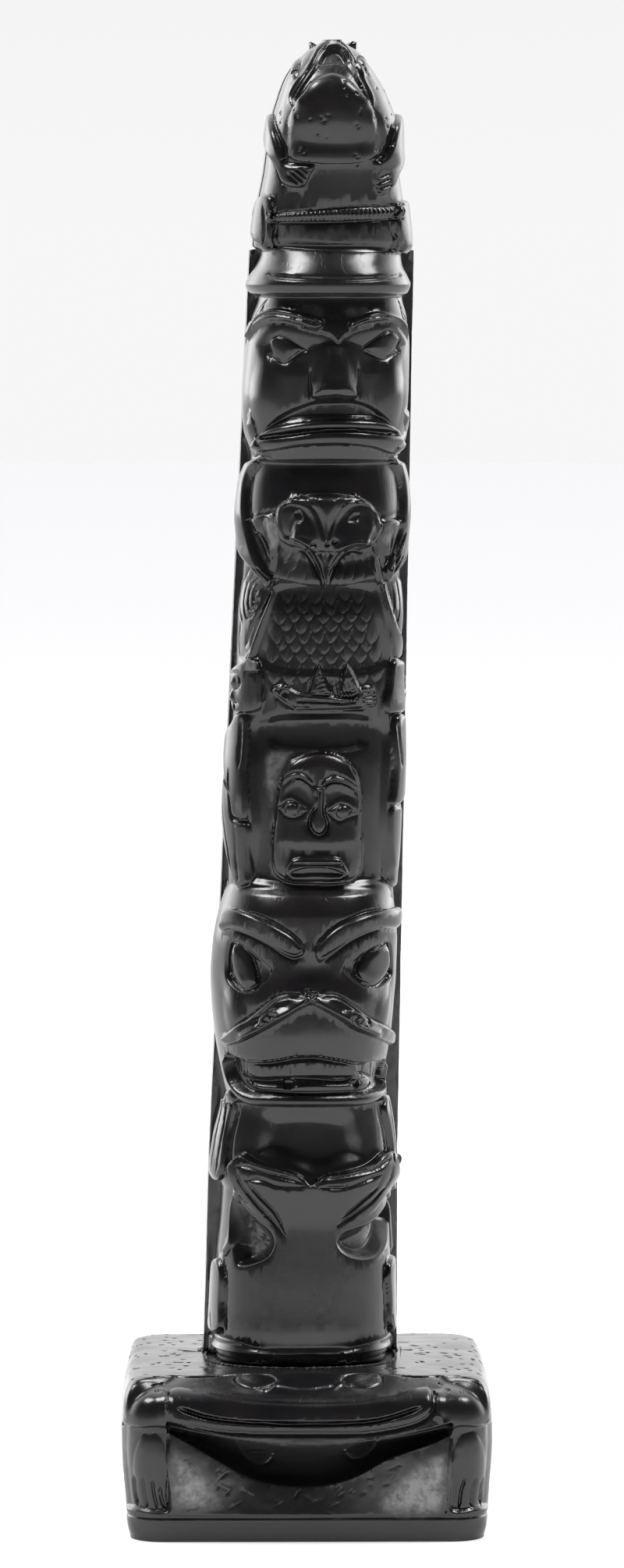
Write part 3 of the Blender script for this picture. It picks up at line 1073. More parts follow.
        self.groove([(-12.4, 230.7), (-11.2, 233.7)], [(-10.3, 231.6), (-9.6, 233.9)], [(-7.5, 232.2),
            (-8.3, 234.1)], [(-5.2, 232.5), (-6.3, 234.1)], [(-3.7, 231.2), (-4.6, 233.9)], [(-1.8, 230.8),
            (-3.3, 233.7)], [(1.7, 232), (0.4, 233.9)], [(4.6, 233.3), (7.1, 234.1)], [(5, 232.9),
            (8.8, 233.2), (11, 231.5)], [(5.9, 232.2), (9.3, 232.2), (12.4, 229.4)], [(7.2, 231.6),
            (10.6, 230.7), (13.3, 227.3)], half=0.3, depth=0.25, taper=1)
        self.scales((208.6, -12.3, 11.2), (205.8, -13.5, 12.9), (203.1, -14.1, 13.4), (200.4, -14.6, 14.4),
                    (197.6, -14.9, 15.3), (195, -15.5, 15.9), (192.2, -16, 16.4), (189.4, -16.1, 16.9),
                    (186.7, -15, 16.6))
        self.groove([(-19.9, 215.4), (-21.6, 210.7), (-22.3, 205.4), (-21.6, 199.3)], [(-18.9, 214.2),
            (-20.7, 210.2), (-21.5, 205.1), (-20.7, 201), (-18.7, 202.4)], [(-17.6, 212.6), (-19.7, 209.4),
            (-20.4, 205.6), (-19.9, 203.2), (-17.9, 204.5)], [(-16.1, 210.9), (-18.4, 208.3), (-19, 205.7),
            (-17.2, 206.6)], [(-22, 199.2), (-22.4, 194.9), (-22.1, 190.4)], [(18.7, 211.9), (20.2, 208),
            (20.8, 203), (20, 199.3)], [(19.9, 212.8), (21.8, 207.7), (22.4, 202.1), (21.8, 196.3)],
            [(17.6, 211.1), (18.8, 207.3), (19.1, 203.5), (18.5, 201.5)], half=0.42, depth=0.55, taper=1.5)
        self.groove([(-13, 219.6), (-13.8, 213.3), (-14.8, 207.5), (-17.1, 201.6), (-18.9, 194.9),
            (-19.8, 190)], [(-13.6, 209.6), (-15.9, 204.8), (-18.8, 199.5), (-20.8, 193.1)], [(11.8, 219.6),
            (13.9, 212.2), (16.2, 204.7), (17.7, 198.4), (18.9, 190.9)], [(14.1, 218.1), (16.7, 211),
            (19.1, 203.5), (20.8, 197.1), (21.8, 190.4)], half=0.45, depth=0.5, taper=2)
        for k in range(4):
            self.groove([(-19.3 + k * 0.9, 215.4 - k * 0.1), (-15.9 + k * 0.8, 210.9 + k * 0.5)],
                        [(19.9 - k * 0.8, 217.7 + k * 0.3), (17 - k * 0.4, 212.4 + k * 1.0)],
                        half=0.34, depth=0.55, taper=0.8)
        self.groove([(-19.4, 224.2), (-17.8, 222.2), (-16.3, 218.9), (-15.1, 216)], [(-19.4, 224.2),
            (-17.2, 223.9), (-15.3, 220.6), (-15.1, 216)], [(19.8, 224.4), (19, 221.4), (17.7, 217.9),
            (17.2, 213.7)], [(17, 223.8), (16.7, 220.5), (16.6, 216.7)], [(-20.7, 227.1), (-17.6, 229.4),
            (-13.6, 230.1)], [(-16.2, 228.2), (-15.8, 224), (-14.5, 220.7)], half=0.4, depth=0.6, taper=1)
        self.rough([(-16.8, 228.1), (-13.9, 228.2), (-13.1, 220.7), (-14.7, 219.8), (-16.2, 224)],
            strength=0.7, dust=0.5, edge=0.6)
        self.rough([(14.3, 225.2), (16.7, 225.9), (16.4, 222.2), (14.4, 221.2)], strength=0.7, dust=0.45,
            edge=0.6)
        self.rough([(-13.5, 219.8), (-8.3, 219.9), (-2.9, 213.4), (-3.9, 211.7), (-13, 212.3)],
            strength=0.35, dust=0.05)
        self.groove([(-7.2, 218.3), (-8.2, 215.7), (-9.4, 214.4), (-10.1, 211.9)], [(-5.8, 217.4),
            (-5.2, 214.5), (-5.9, 211.7)], [(-9, 219.9), (-10.3, 217.4), (-11.9, 216.1)], [(3.4, 217.4),
            (4.4, 214.9), (4, 211.4)], [(6.7, 219.1), (7.5, 216.1), (6.6, 211.7)], [(8.9, 218.2),
            (9.9, 214.8), (9.4, 211.9)], [(2.2, 216.6), (2.1, 211.4)], [(10.8, 219), (11.4, 215.6),
            (12.6, 212.2)], half=0.25, depth=0.25, taper=1)
        self.groove([(6.6, 182.1), (9.4, 182.3)], [(9.4, 182), (14.1, 182.6)], [(10, 181.2), (14.1, 181.5)],
            [(10.3, 180.1), (14.1, 180.4)], [(10.3, 179.1), (14.2, 179.4)], [(10.4, 178), (14.2, 178.3)],
            [(-2.1, 184.7), (0, 185.7)], [(-1.9, 183.6), (0.4, 184.7)], [(-1.8, 182.6), (0.9, 183.4)],
            [(-2, 181.5), (0.9, 182.1)], [(-13.2, 182.3), (-9.5, 182.7), (-7.9, 183.6)], [(-13.6, 181.2),
            (-10.7, 179.6), (-7.7, 177.5), (-2.7, 177.7)], [(-6.9, 179.2), (-1.9, 179), (5.7, 178.7),
            (9.1, 178.9)], [(-12.8, 180.4), (-9.8, 178.3), (-6.8, 176.4)], [(-7.6, 176.2), (1.6, 176.2),
            (11.3, 176.7)], half=0.36, depth=0.6, taper=1)
        for k in range(5):
            x, z = 2.5 + k * 1.1, 185.5 - 0.2 * k
            self.groove([(x, z), (x + 0.5, z - 3.4), (x + 1.4, z - 5.8)], half=0.3, depth=0.5, taper=1)
        self.groove([(-1.4, 189.7), (-2.6, 185.9), (-3.7, 181.3)], [(-1.4, 189.7), (0.8, 185.5),
            (2.2, 181.3)], [(6.6, 189.6), (5, 186.7), (4.7, 181.7)], half=0.4, depth=0.5, taper=1)
        self.mound((-9.9, 181.3), across=0.9, up=0.8, height=-0.6)
        self.band([(-10.8, 181.9), (-9.1, 181.7), (-9.5, 180.4), (-10.7, 180.8)], half=0.3, height=-0.35,
            taper=0.5)
        self.mound((-21.9, 183.7), (22.9, 183.6), (-22, 179.9), (23, 179.8), across=1.5, up=1.9, height=0.7)
        self.groove([(-22.6, 185.9), (-21, 185.5), (-20.6, 183), (-21.7, 181.6)], [(-22.4, 178.6),
            (-20.8, 178)], [(23.4, 185.8), (22, 184.9), (21.6, 182.4), (22.7, 181.1)], [(-16.3, 187),
            (-19.9, 186.8)], [(-21.7, 181.2), (-21.6, 175.8)], [(23.2, 180.7), (22.3, 175.6)], half=0.4,
            depth=0.6, taper=1)
        self.rough([(-19.6, 189.4), (-17.1, 189.7), (-16.9, 187.4), (-19.1, 187.1)], strength=0.4,
            dust=0.35, edge=0.5)

    def scales(self, *rows: tuple[float, float, float]) -> None:
        """Cuts the net of feather scales on the chest.

        Args:
            rows: Height, left end and right end of each row, with a half step between neighbours.
        """
        rng = np.random.default_rng(5)
        for number, (z, left, right) in enumerate(rows):
            count = max(1, round((right - left) / 4.0))
            step = (right - left) / count
            for k in range(-1, count + 1):
                middle = left + (k + 0.5 + 0.5 * (number % 2)) * step
                if not left + 0.3 < middle < right - 0.3:
                    continue
                half = step * 0.5
                drop = rng.uniform(2.7, 3.6)
                tip = middle + rng.uniform(-0.5, 0.5)
                lift = z + rng.uniform(-0.5, 0.5)
                self.groove([(middle - half, lift + 0.5), (middle - half * 0.75, lift - drop * 0.55),
                             (tip, lift - drop), (middle + half * 0.75, lift - drop * 0.55),
                             (middle + half, lift + 0.5)], half=0.22, depth=0.11, taper=0.5)


@dataclass
class CrestFace(Figure):
    """Broad crest face under the hat's brim."""

    socket_depth: float = 0.95
    brow_height: float = 1.7
    nose_height: float = 3.0

    def forms(self) -> None:
        """Cuts the main masses."""
        self.patch([(-21, 274.4), (-19.1, 278), (-14, 279.5), (-7, 278.1), (-1.1, 275.8), (-3.9, 271.2),
            (-6.2, 266.3), (-12.8, 266.2), (-18.5, 269.1)], [(20.1, 274.4), (17.6, 278.2), (13.2, 279.5),
            (7.6, 278.7), (2.2, 276.2), (4.5, 271.2), (7.1, 266.7), (12.7, 266.6), (17.9, 269)],
            height=-self.socket_depth, edge=5)
        self.patch([(-2.9, 281), (-6.7, 282.7), (-10.8, 283.7), (-15.3, 284.3), (-18.8, 283.4),
            (-21.4, 279.4), (-22.3, 275.2), (-20.3, 278.2), (-17.4, 280.1), (-13.6, 280.4), (-9.1, 279.3),
            (-4.9, 278.1), (-3.1, 279.1)], [(3.6, 280.6), (7.1, 282.4), (10.5, 283.5), (14.4, 283),
            (17.6, 281.5), (20.4, 275.6), (17.6, 279), (14.9, 280.5), (11, 280.3), (7.2, 279.5),
            (4.3, 278.1), (3.2, 279.3)], height=self.brow_height, edge=1.1)
        self.ledge([(-10.7, 279.1), (-5.1, 277.7), (-1.5, 276.9), (1, 274.8), (2.6, 276.6), (5.5, 278.1),
            (11, 279.5)], fade=5, height=0.9, edge=0.6, taper=2)
        self.patch([(-3.6, 275), (0.1, 276.2), (3.9, 274.8), (6.7, 267.1), (7.3, 260.2), (-6.2, 260),
            (-6, 266.7)], height=self.nose_height, edge=4.6, fade=(281, 264))
        self.ledge([(-6.2, 260.2), (-2.7, 260.2), (0.4, 260.6), (3.6, 260.2), (6.9, 260.4)], fade=5,
            height=1.3, edge=0.7, taper=1)
        self.patch([(-19.5, 249.8), (-17.6, 252.8), (-13.5, 256.7), (-8.5, 259), (-5.2, 260), (6.1, 260.2),
            (11.2, 258.5), (15.3, 255.1), (18.2, 251.2), (14, 253.5), (1.9, 254.4), (-8.3, 254),
            (-16.6, 251.8)], height=-1.3, edge=1.8)
        self.swell([(-19.3, 249.8), (-16.6, 252), (-8.3, 254), (1.9, 254.6), (13.6, 253.9), (18.2, 251),
            (13.6, 251.6), (1.9, 252.1), (-8.2, 251.7), (-16.3, 250.4)], height=1.5, edge=1.5)
        self.swell([(-19.5, 249.6), (-12.5, 250.6), (-3.9, 251.7), (5.1, 251.9), (13.7, 251.2),
            (18.7, 250.6), (19, 248), (16.3, 245.4), (10.4, 247.2), (2.1, 247.9), (-8.1, 247.5),
            (-16.9, 246.1), (-19.7, 247.5)], height=1.9, edge=2.4)
        self.mound((-18.3, 260.8), across=6.5, up=11, height=1.0, tilt=0, power=1.6)
        self.mound((16.1, 261.1), across=6.0, up=11, height=1.0, tilt=0, power=1.6)
        self.ridge([(-21.5, 256.1), (-20.9, 251.2), (-19.1, 247.1), (-16.2, 244.7)], [(20.1, 256),
            (21, 251.1), (18.8, 246.9), (15.4, 244.6)], half=2.4, height=0.9, taper=3)
        self.swell([(-17.5, 275.7), (-15.9, 276.8), (-13.9, 276.6), (-11.8, 275.6), (-9.1, 273.7),
            (-11.3, 271.6), (-13.5, 270.2), (-15.8, 271.4), (-17.3, 273.5)], [(17.4, 276.7), (15.4, 278),
            (13.4, 277.4), (11.3, 276), (8.2, 273.5), (11.2, 272.2), (14, 271.2), (16.4, 272.6),
            (17.5, 274.7)], height=0.9, edge=3.4)

    def details(self) -> None:
        """Cuts the fine lines."""
        self.groove([(-3.7, 280), (-7.9, 281), (-12, 282), (-16, 282.4), (-19.2, 281.3), (-21.4, 277.3)],
            [(4.2, 279.7), (8.4, 281.4), (12.7, 282), (16, 280.9), (18.8, 278.2)], half=0.45, depth=0.5,
            taper=2)
        self.groove([(-4.6, 281.2), (-8.3, 282.4), (-12, 283.3)], half=0.35, depth=0.35, taper=2)
        for inset in (0, 4, 8):
            self.groove(
                [(-17.6 - inset * 0.12, 286.7 - inset * 0.05), (-20.4 + inset * 0.1, 283.1 - inset * 0.16),
                 (-22.1 + inset * 0.08, 277.3 + inset * 0.3)],
                [(16.7 + inset * 0.12, 286.7 - inset * 0.05), (19.4 - inset * 0.1, 283.1 - inset * 0.16),
                 (21.4 - inset * 0.08, 277.6 + inset * 0.3)],
                half=0.35, depth=0.35, taper=2)
        self.groove([(-18.2, 271.6), (-17, 272.4), (-17.7, 274.9), (-16.7, 276.6), (-14.9, 277),
            (-12.7, 276.2), (-10.2, 274.6), (-6.8, 273.1)], [(-18, 271.8), (-15.8, 270.8), (-13.5, 269.6),
            (-11.3, 271), (-8.9, 272.7), (-6.6, 273.1)], [(18.5, 272.6), (17.7, 273.6), (18.1, 276.1),
            (16.7, 277.8), (14.9, 278.4), (12.8, 277.2), (10.2, 275.4), (7.3, 273.3)], [(18.5, 272.8),
            (16.4, 271.8), (14.1, 270.6), (11.2, 271.6), (7.8, 273.1)], half=0.5, depth=0.38, taper=1.5)
        self.groove([(-19.3, 249.8), (-12.5, 250.6), (-3.9, 251.7), (5.1, 251.9), (13.2, 251.2),
            (18.4, 250.6)], half=0.5, depth=1.1, taper=2)
        self.band([(-6.3, 268.8), (-6.4, 264.6), (-6.2, 260.2)], [(6.6, 269.6), (7, 265), (7.1, 260.2)],
            half=0.6, height=-0.5, taper=1.5)
        self.groove([(-19.9, 244.2), (-17.2, 245), (-14.8, 243.6)], [(20.2, 244.6), (17.2, 244.7),
            (14.8, 244)], half=0.4, depth=0.5, taper=1.5)
        self.rough([(-12, 284.9), (-4.2, 284.9), (-3.1, 281.6), (-9.3, 283.1)], [(2, 284.5), (10, 284.7),
            (8.4, 282.8), (3.6, 281.2)], strength=0.5, dust=0.12)


@dataclass
class HatAndFrog(Figure):
    """Ringed hat and the frog that clings to it with its open mouth to the sky."""

    mouth_depth: float = 0.9
    roof_depth: float = 1.3

    def forms(self) -> None:
        """Cuts the main masses."""
        self.band([(-18.8, 293.4), (-14.2, 292.6), (0.6, 292), (14.4, 292.6), (18.1, 293.4)], half=0.9,
            height=-0.6, taper=2)
        self.band([(-17.4, 308.2), (-8.9, 308.8), (-0.2, 309.2), (7.8, 309.4), (17, 310.1)], half=2.2,
            height=1.1, taper=1.5)
        self.ledge([(-17.5, 300.1), (-11.7, 300.1), (-0.4, 299.2), (10.1, 299.2), (16.9, 299.4)], fade=3,
            height=-1.0, edge=0.5, taper=1)
        self.swell([(-16.7, 313.6), (-18.7, 314.6), (-20.1, 313.2), (-21.2, 309.2), (-21.6, 304),
            (-19.9, 301.1), (-17.5, 299.8), (-16.2, 300.3), (-16.5, 306.1)], [(15.3, 311.9), (17.4, 313),
            (19.5, 312), (20.9, 307.1), (21.3, 303), (19.9, 299.8), (16.9, 298.8), (15.7, 299.8),
            (15.5, 306.1)], height=1.6, edge=1.5)
        self.swell([(-19.3, 335.4), (-17.4, 336.2), (-16.7, 332.1), (-15.5, 328.1), (-14.3, 324.8),
            (-13.4, 323.1), (-6.5, 322.3), (-7.6, 319.4), (-8.7, 316.9), (-11.6, 316.3), (-14.4, 317.5),
            (-16.3, 322.3), (-18.2, 327), (-19.5, 330.8)], [(16.6, 335.8), (14.6, 333.6), (13.4, 329.8),
            (12, 325.6), (9, 323.1), (9.3, 320.2), (9.7, 316.5), (11.3, 314.4), (14.1, 315.9),
            (15.6, 319.6), (17.4, 325.8), (18.1, 330.8)], height=1.9, edge=1.5)
        self.ledge([(-15.1, 325.6), (-12.6, 324), (-8.4, 323.1), (-1.8, 322.7), (4.1, 322.9), (8.9, 324.2),
            (11.5, 325.8)], fade=6, height=1.4, edge=0.6, taper=7)
        self.swell([(-11.8, 339.3), (-9.5, 341.8), (-7.5, 344.3), (-5.4, 345.3), (-2.3, 346.2),
            (0.6, 345.3), (2.9, 343.4), (5.2, 341.2), (7.9, 338.3), (9.5, 333.1), (7.5, 327.3),
            (-1.9, 325.6), (-11.5, 326.9), (-14.1, 333.1)], height=2.4, edge=9, fade=(325, 344))
        self.band([(-13, 336.8), (-13.7, 333.1), (-14.4, 327.9), (-13.9, 324.8)], [(8.5, 337.2),
            (10.4, 333.1), (11.2, 329), (9.8, 324.8)], half=2.4, height=-0.3, taper=3)
        self.patch([(-12.2, 338.1), (-12.6, 340.4), (-11.8, 342.9), (-9.8, 346), (-7.3, 349.8),
            (-5.2, 353.6), (-3.5, 354.9), (-0.6, 354.9), (1.2, 353.1), (3.2, 349.3), (5.3, 345.3),
            (7.2, 341.2), (7.8, 338.5), (4.6, 341.6), (1.2, 344.7), (-2.3, 346.2), (-5.8, 345.1),
            (-8.2, 342.8), (-10.6, 339.9)], height=-self.mouth_depth, edge=1.4)
        self.patch([(-6.9, 349.8), (-5.4, 353.2), (-3.5, 354.7), (-0.4, 354.7), (1.2, 353.4), (3.2, 350.2),
            (0.5, 349.5), (-2.2, 350), (-4.9, 349.6)], height=-self.roof_depth, edge=1.4)
        self.ledge([(8.1, 338.1), (4.4, 341.6), (1, 344.9), (-2.3, 346.4), (-5.8, 345.1), (-8.2, 342.8),
            (-10.6, 339.9), (-12.4, 337.7)], fade=5, height=0.9, edge=0.5, taper=3)
        self.band([(-13, 337.7), (-13.6, 340.6), (-12.6, 343.3), (-10.6, 346.2), (-7.9, 350.2),
            (-5.8, 353.8), (-3.9, 355.6), (-0.2, 355.5), (2, 353), (4.1, 349.4), (6.1, 345.4), (8.1, 341),
            (8.7, 337.9)], half=0.8, height=0.45, taper=2)
        self.mound((-12.1, 348.2), across=2.6, up=3.4, height=1.0, tilt=0.5)
        self.mound((5.9, 349), across=2.6, up=3.4, height=1.0, tilt=-0.5)

    def details(self) -> None:
        """Cuts the fine lines."""
        self.groove([(-17.7, 306.9), (-6.8, 306.9), (1.5, 307.1), (17, 308)], [(-17.8, 309.6),
            (-6.9, 310.5), (-0.3, 311.1), (17, 311.9)], half=0.4, depth=0.6, taper=1)
        for k in range(30):
            share = k / 29
            lean = 0.35 - 0.3 * share
            across, up = self.at(-16.6 * (1 - share) + 16.1 * share, 308.4 * (1 - share) + 309.8 * share)
            self.sheet.stroke([(across - lean, up - 1.4), (across + lean, up + 1.4)], 0.32,
                              -0.3 - 0.35 * smooth_step(0.4, 0.8, share).item(), 0.8, Profile.SHARP)
        self.groove([(-12.9, 320), (-9.8, 316.9)], [(-12.1, 320.8), (-8.6, 317.5)],
            [(-11.1, 321.7), (-8, 318.8)], [(-9.7, 322.1), (-7.4, 320)], [(9.8, 318.8), (12.8, 320.2)],
            [(9.6, 317.3), (12.9, 318.8)], [(9.9, 315.9), (13.2, 317.1)], [(10.6, 314.6), (13.4, 315.7)],
            half=0.45, depth=0.75, taper=0.8)
        self.groove([(-17.1, 335.3), (-16.4, 331.5), (-14.9, 327.5), (-14, 324.2), (-14.2, 322.7)],
            [(14.1, 333.2), (13.2, 329.4), (11.5, 325.4), (9, 323.3)], half=0.5, depth=0.4, taper=2)
        self.groove([(-18.4, 327), (-16.7, 322.3), (-15, 317.7), (-14, 316.5)], half=0.5, depth=0.6,
            taper=2)
        self.band([(-18.5, 311.9), (-18.1, 306.1), (-18.2, 301.1)], half=0.8, height=-0.5, taper=2)
        self.band([(16, 304.8), (16.3, 301.9), (17.3, 300.3)], half=0.7, height=-0.5, taper=2)
        self.groove([(-16.7, 313.2), (-16.2, 307.1), (-16.2, 300.3)], [(15.3, 311.9), (15, 306.1),
            (15.9, 299.8)], half=0.5, depth=0.7, taper=2)
        self.groove([(-20.4, 310.7), (-21.1, 306.1), (-20.1, 301.9)], half=0.4, depth=0.5, taper=2)
        for k in range(9):
            share = k / 8
            self.groove([(-11.8 * (1 - share) + -9 * share, 341 * (1 - share) + 344.9 * share),
                         (-10.6 * (1 - share) + -7.8 * share, 340.1 * (1 - share) + 343.9 * share)],
                        half=0.28, depth=0.4, taper=0.5)
        rng = np.random.default_rng(23)
        for _ in range(46):
            x, z = rng.uniform(-16.5, 14), rng.uniform(322, 344)
            size = rng.uniform(0.1, 0.5)
            self.band([(x, z), (x + size, z + rng.uniform(-0.3, 0.3))],
                      half=rng.uniform(0.2, 0.36), height=-0.35)
        self.groove([(-13.1, 346.1), (-12.7, 348.7), (-11.3, 350.6), (-10.4, 351.2)], [(-12.9, 346.3),
            (-11.5, 347.6), (-10.5, 350.3)], [(3.9, 351.3), (5.8, 350.7), (6.9, 348.2), (7.3, 346)],
            [(4.2, 350.7), (5.4, 348.6), (6.8, 346.4)], half=0.4, depth=0.5, taper=1)
        self.groove([(-12, 337.9), (-12.6, 340.4), (-11.6, 342.9), (-9.6, 346), (-7.1, 349.8),
            (-5.2, 353.2), (-3.5, 354.7)], [(7.9, 338.3), (7.2, 341.2), (5.3, 345.3), (3.2, 349.3),
            (1.2, 352.9), (-0.4, 354.7)], half=0.35, depth=0.4, taper=2)


@dataclass
class CarvedPole:
    """The whole pole: its blank, the figures cut into it, and the plainer sides and back."""

    cell: float = FINE_CELL
    fade_side: float = 4.0
    fade_end: float = 1.6
    break_drop: float = 3.6

    def build(self) -> Shell:
        """Carves the pole in two passes, masses first and fine cuts after.

        Returns:
            The finished surface in the shared frame.
        """
        blank = PoleBlank(cell=self.cell)
        blank.build()
        grid = blank.grid()
        front = slice(0, blank.front_columns + 1)
        sheet = CarvedSheet(blank.length, np.broadcast_to(blank.heights[:, None], blank.length.shape))
        kinds = (Flukes, WhaleHead, HoodedFigure, Bird, CrestFace, HatAndFrog)
        figures = [kind(blank, sheet) for kind in kinds]
        for figure in figures:
            figure.forms()
        grid = self.moved(grid, sheet, front)
        sheet.relief[:] = 0
        for figure in figures:
            figure.details()
        grid = self.moved(grid, sheet, front)
        grid = self.broken_top(self.scraped(grid, front))
        rough = np.zeros(grid.shape[:2])
        dust = np.zeros(grid.shape[:2])
        rough[:, front] = sheet.rough
        dust[:, front] = sheet.dust
        points = placed(grid[..., 0], -grid[..., 1], grid[..., 2])
        top_x = (board_half(POLE_HEIGHT, 1) - board_half(POLE_HEIGHT, -1))[0] / 2
        inside = np.array(BOARD_THICKNESS - 2)
        foot = placed(np.array(0.0), inside, np.array(0.0))
        top = placed(np.array(top_x), inside, np.array(POLE_HEIGHT - self.break_drop))
        return Shell(points, sheet_normals(points, True), rough, dust, foot, top)

    def broken_top(self, grid: np.ndarray) -> np.ndarray:
        """Lowers the board's end behind the frog, which leaves a broken stub on each side.

        Args:
            grid: Pole-local points.

        Returns:
            The changed points.
        """
        x, depth, z = grid[..., 0], -grid[..., 1], grid[..., 2]
        behind = smooth_step(BOARD_THICKNESS + 2.6, BOARD_THICKNESS + 1.2, depth)
        between = smooth_step(-6.9, -6.2, x) * smooth_step(3.0, 2.2, x)
        chips = 0.5 + 0.5 * value_noise(grid[..., :2], 0.9, 4)
        stub = 0.1 + 1.3 * smooth_step(-7.2, -8.8, x) + 0.6 * smooth_step(4.6, 6.4, x) + 0.5 * chips
        drop = self.break_drop * between + stub * (1 - between)
        result = grid.copy()
        result[..., 2] = z - drop * behind * smooth_step(POLE_HEIGHT - 6, POLE_HEIGHT, z)
        return result

    def moved(self, grid: np.ndarray, sheet: CarvedSheet, front: slice) -> np.ndarray:
        """Moves the front's points along their normals by the sheet's relief.

        Args:
            grid: Pole-local points.
            sheet: The sheet with its relief.
            front: Columns of the front.

        Returns:
            The moved points.
        """
        edge = np.minimum(sheet.across - sheet.across[:, :1], sheet.across[:, -1:] - sheet.across)
        fade = smooth_step(0, self.fade_side, edge) * smooth_step(0, self.fade_end, POLE_HEIGHT - sheet.up)
        normals = sheet_normals(grid, True)
        result = grid.copy()
        result[:, front] += normals[:, front] * (sheet.relief * fade)[..., None]
        return result

    def scraped(self, grid: np.ndarray, front: slice) -> np.ndarray:
        """Gives the back and sides the shallow waves of a scraper, and the front a trace of them.

        Args:
            grid: Pole-local points.
            front: Columns of the front.

        Returns:
            The changed points.
        """
        share = np.ones(grid.shape[:2])
        share[:, front] = 0.25
        wave = 0.11 * value_noise(grid * np.array([1, 1, 0.4]), 5.5, 21) + 0.05 * value_noise(grid, 1.8, 22)
        end = np.minimum(grid[..., 2], POLE_HEIGHT - grid[..., 2])
        return grid + sheet_normals(grid, True) * ((wave - 0.1) * share * smooth_step(0, 3, end))[..., None]


def evenly_spaced(points: np.ndarray, count: int) -> np.ndarray:
    """Spreads a closed outline's points evenly.

    Args:
        points: Outline, without its first point repeated.
        count: Number of points wanted.

    Returns:
        The evenly spaced outline, from the same first point.
    """
    loop = np.vstack([points, points[:1]])
    length = np.concatenate([[0], np.cumsum(np.linalg.norm(np.diff(loop, axis=0), axis=1))])
    goal = np.arange(count) / count * length[-1]
    return np.stack([np.interp(goal, length, loop[:, axis]) for axis in range(loop.shape[1])], axis=-1)


def spaced_profile(points: list[Point], count: int) -> np.ndarray:
    """Spreads an open profile's points evenly along its smooth curve.

    Args:
        points: A few points of the profile.
        count: Number of points wanted.

    Returns:
        The evenly spaced profile.
    """
    line = curve_through(points, steps=12)
    length = np.concatenate([[0], np.cumsum(np.linalg.norm(np.diff(line, axis=0), axis=1))])
    goal = np.linspace(0, length[-1], count)
    return np.stack([np.interp(goal, length, line[:, axis]) for axis in range(2)], axis=-1)


def foot_outline(margin: float) -> np.ndarray:
    """Outline of the pole's foot on the plinth, grown by a margin, starting at the middle of the front.

    Args:
        margin: Growth outwards.

    Returns:
        Outline points x, y.
    """
    blank = PoleBlank(cell=2.0)
    blank.build()
    half = float(board_half(0.0, 1)[0])
    xs = np.concatenate([blank.x[0], [half, half, -half, -half]])
    depths = np.concatenate([blank.depth[0], [BOARD_THICKNESS, 0, 0, BOARD_THICKNESS]])
    loop = placed(xs, depths, np.zeros(len(xs)))[:, :2]
    away = loop - loop.mean(axis=0)
    loop = loop + away / np.linalg.norm(away, axis=1, keepdims=True) * margin
    return np.roll(loop, -(blank.front_columns // 2), axis=0)


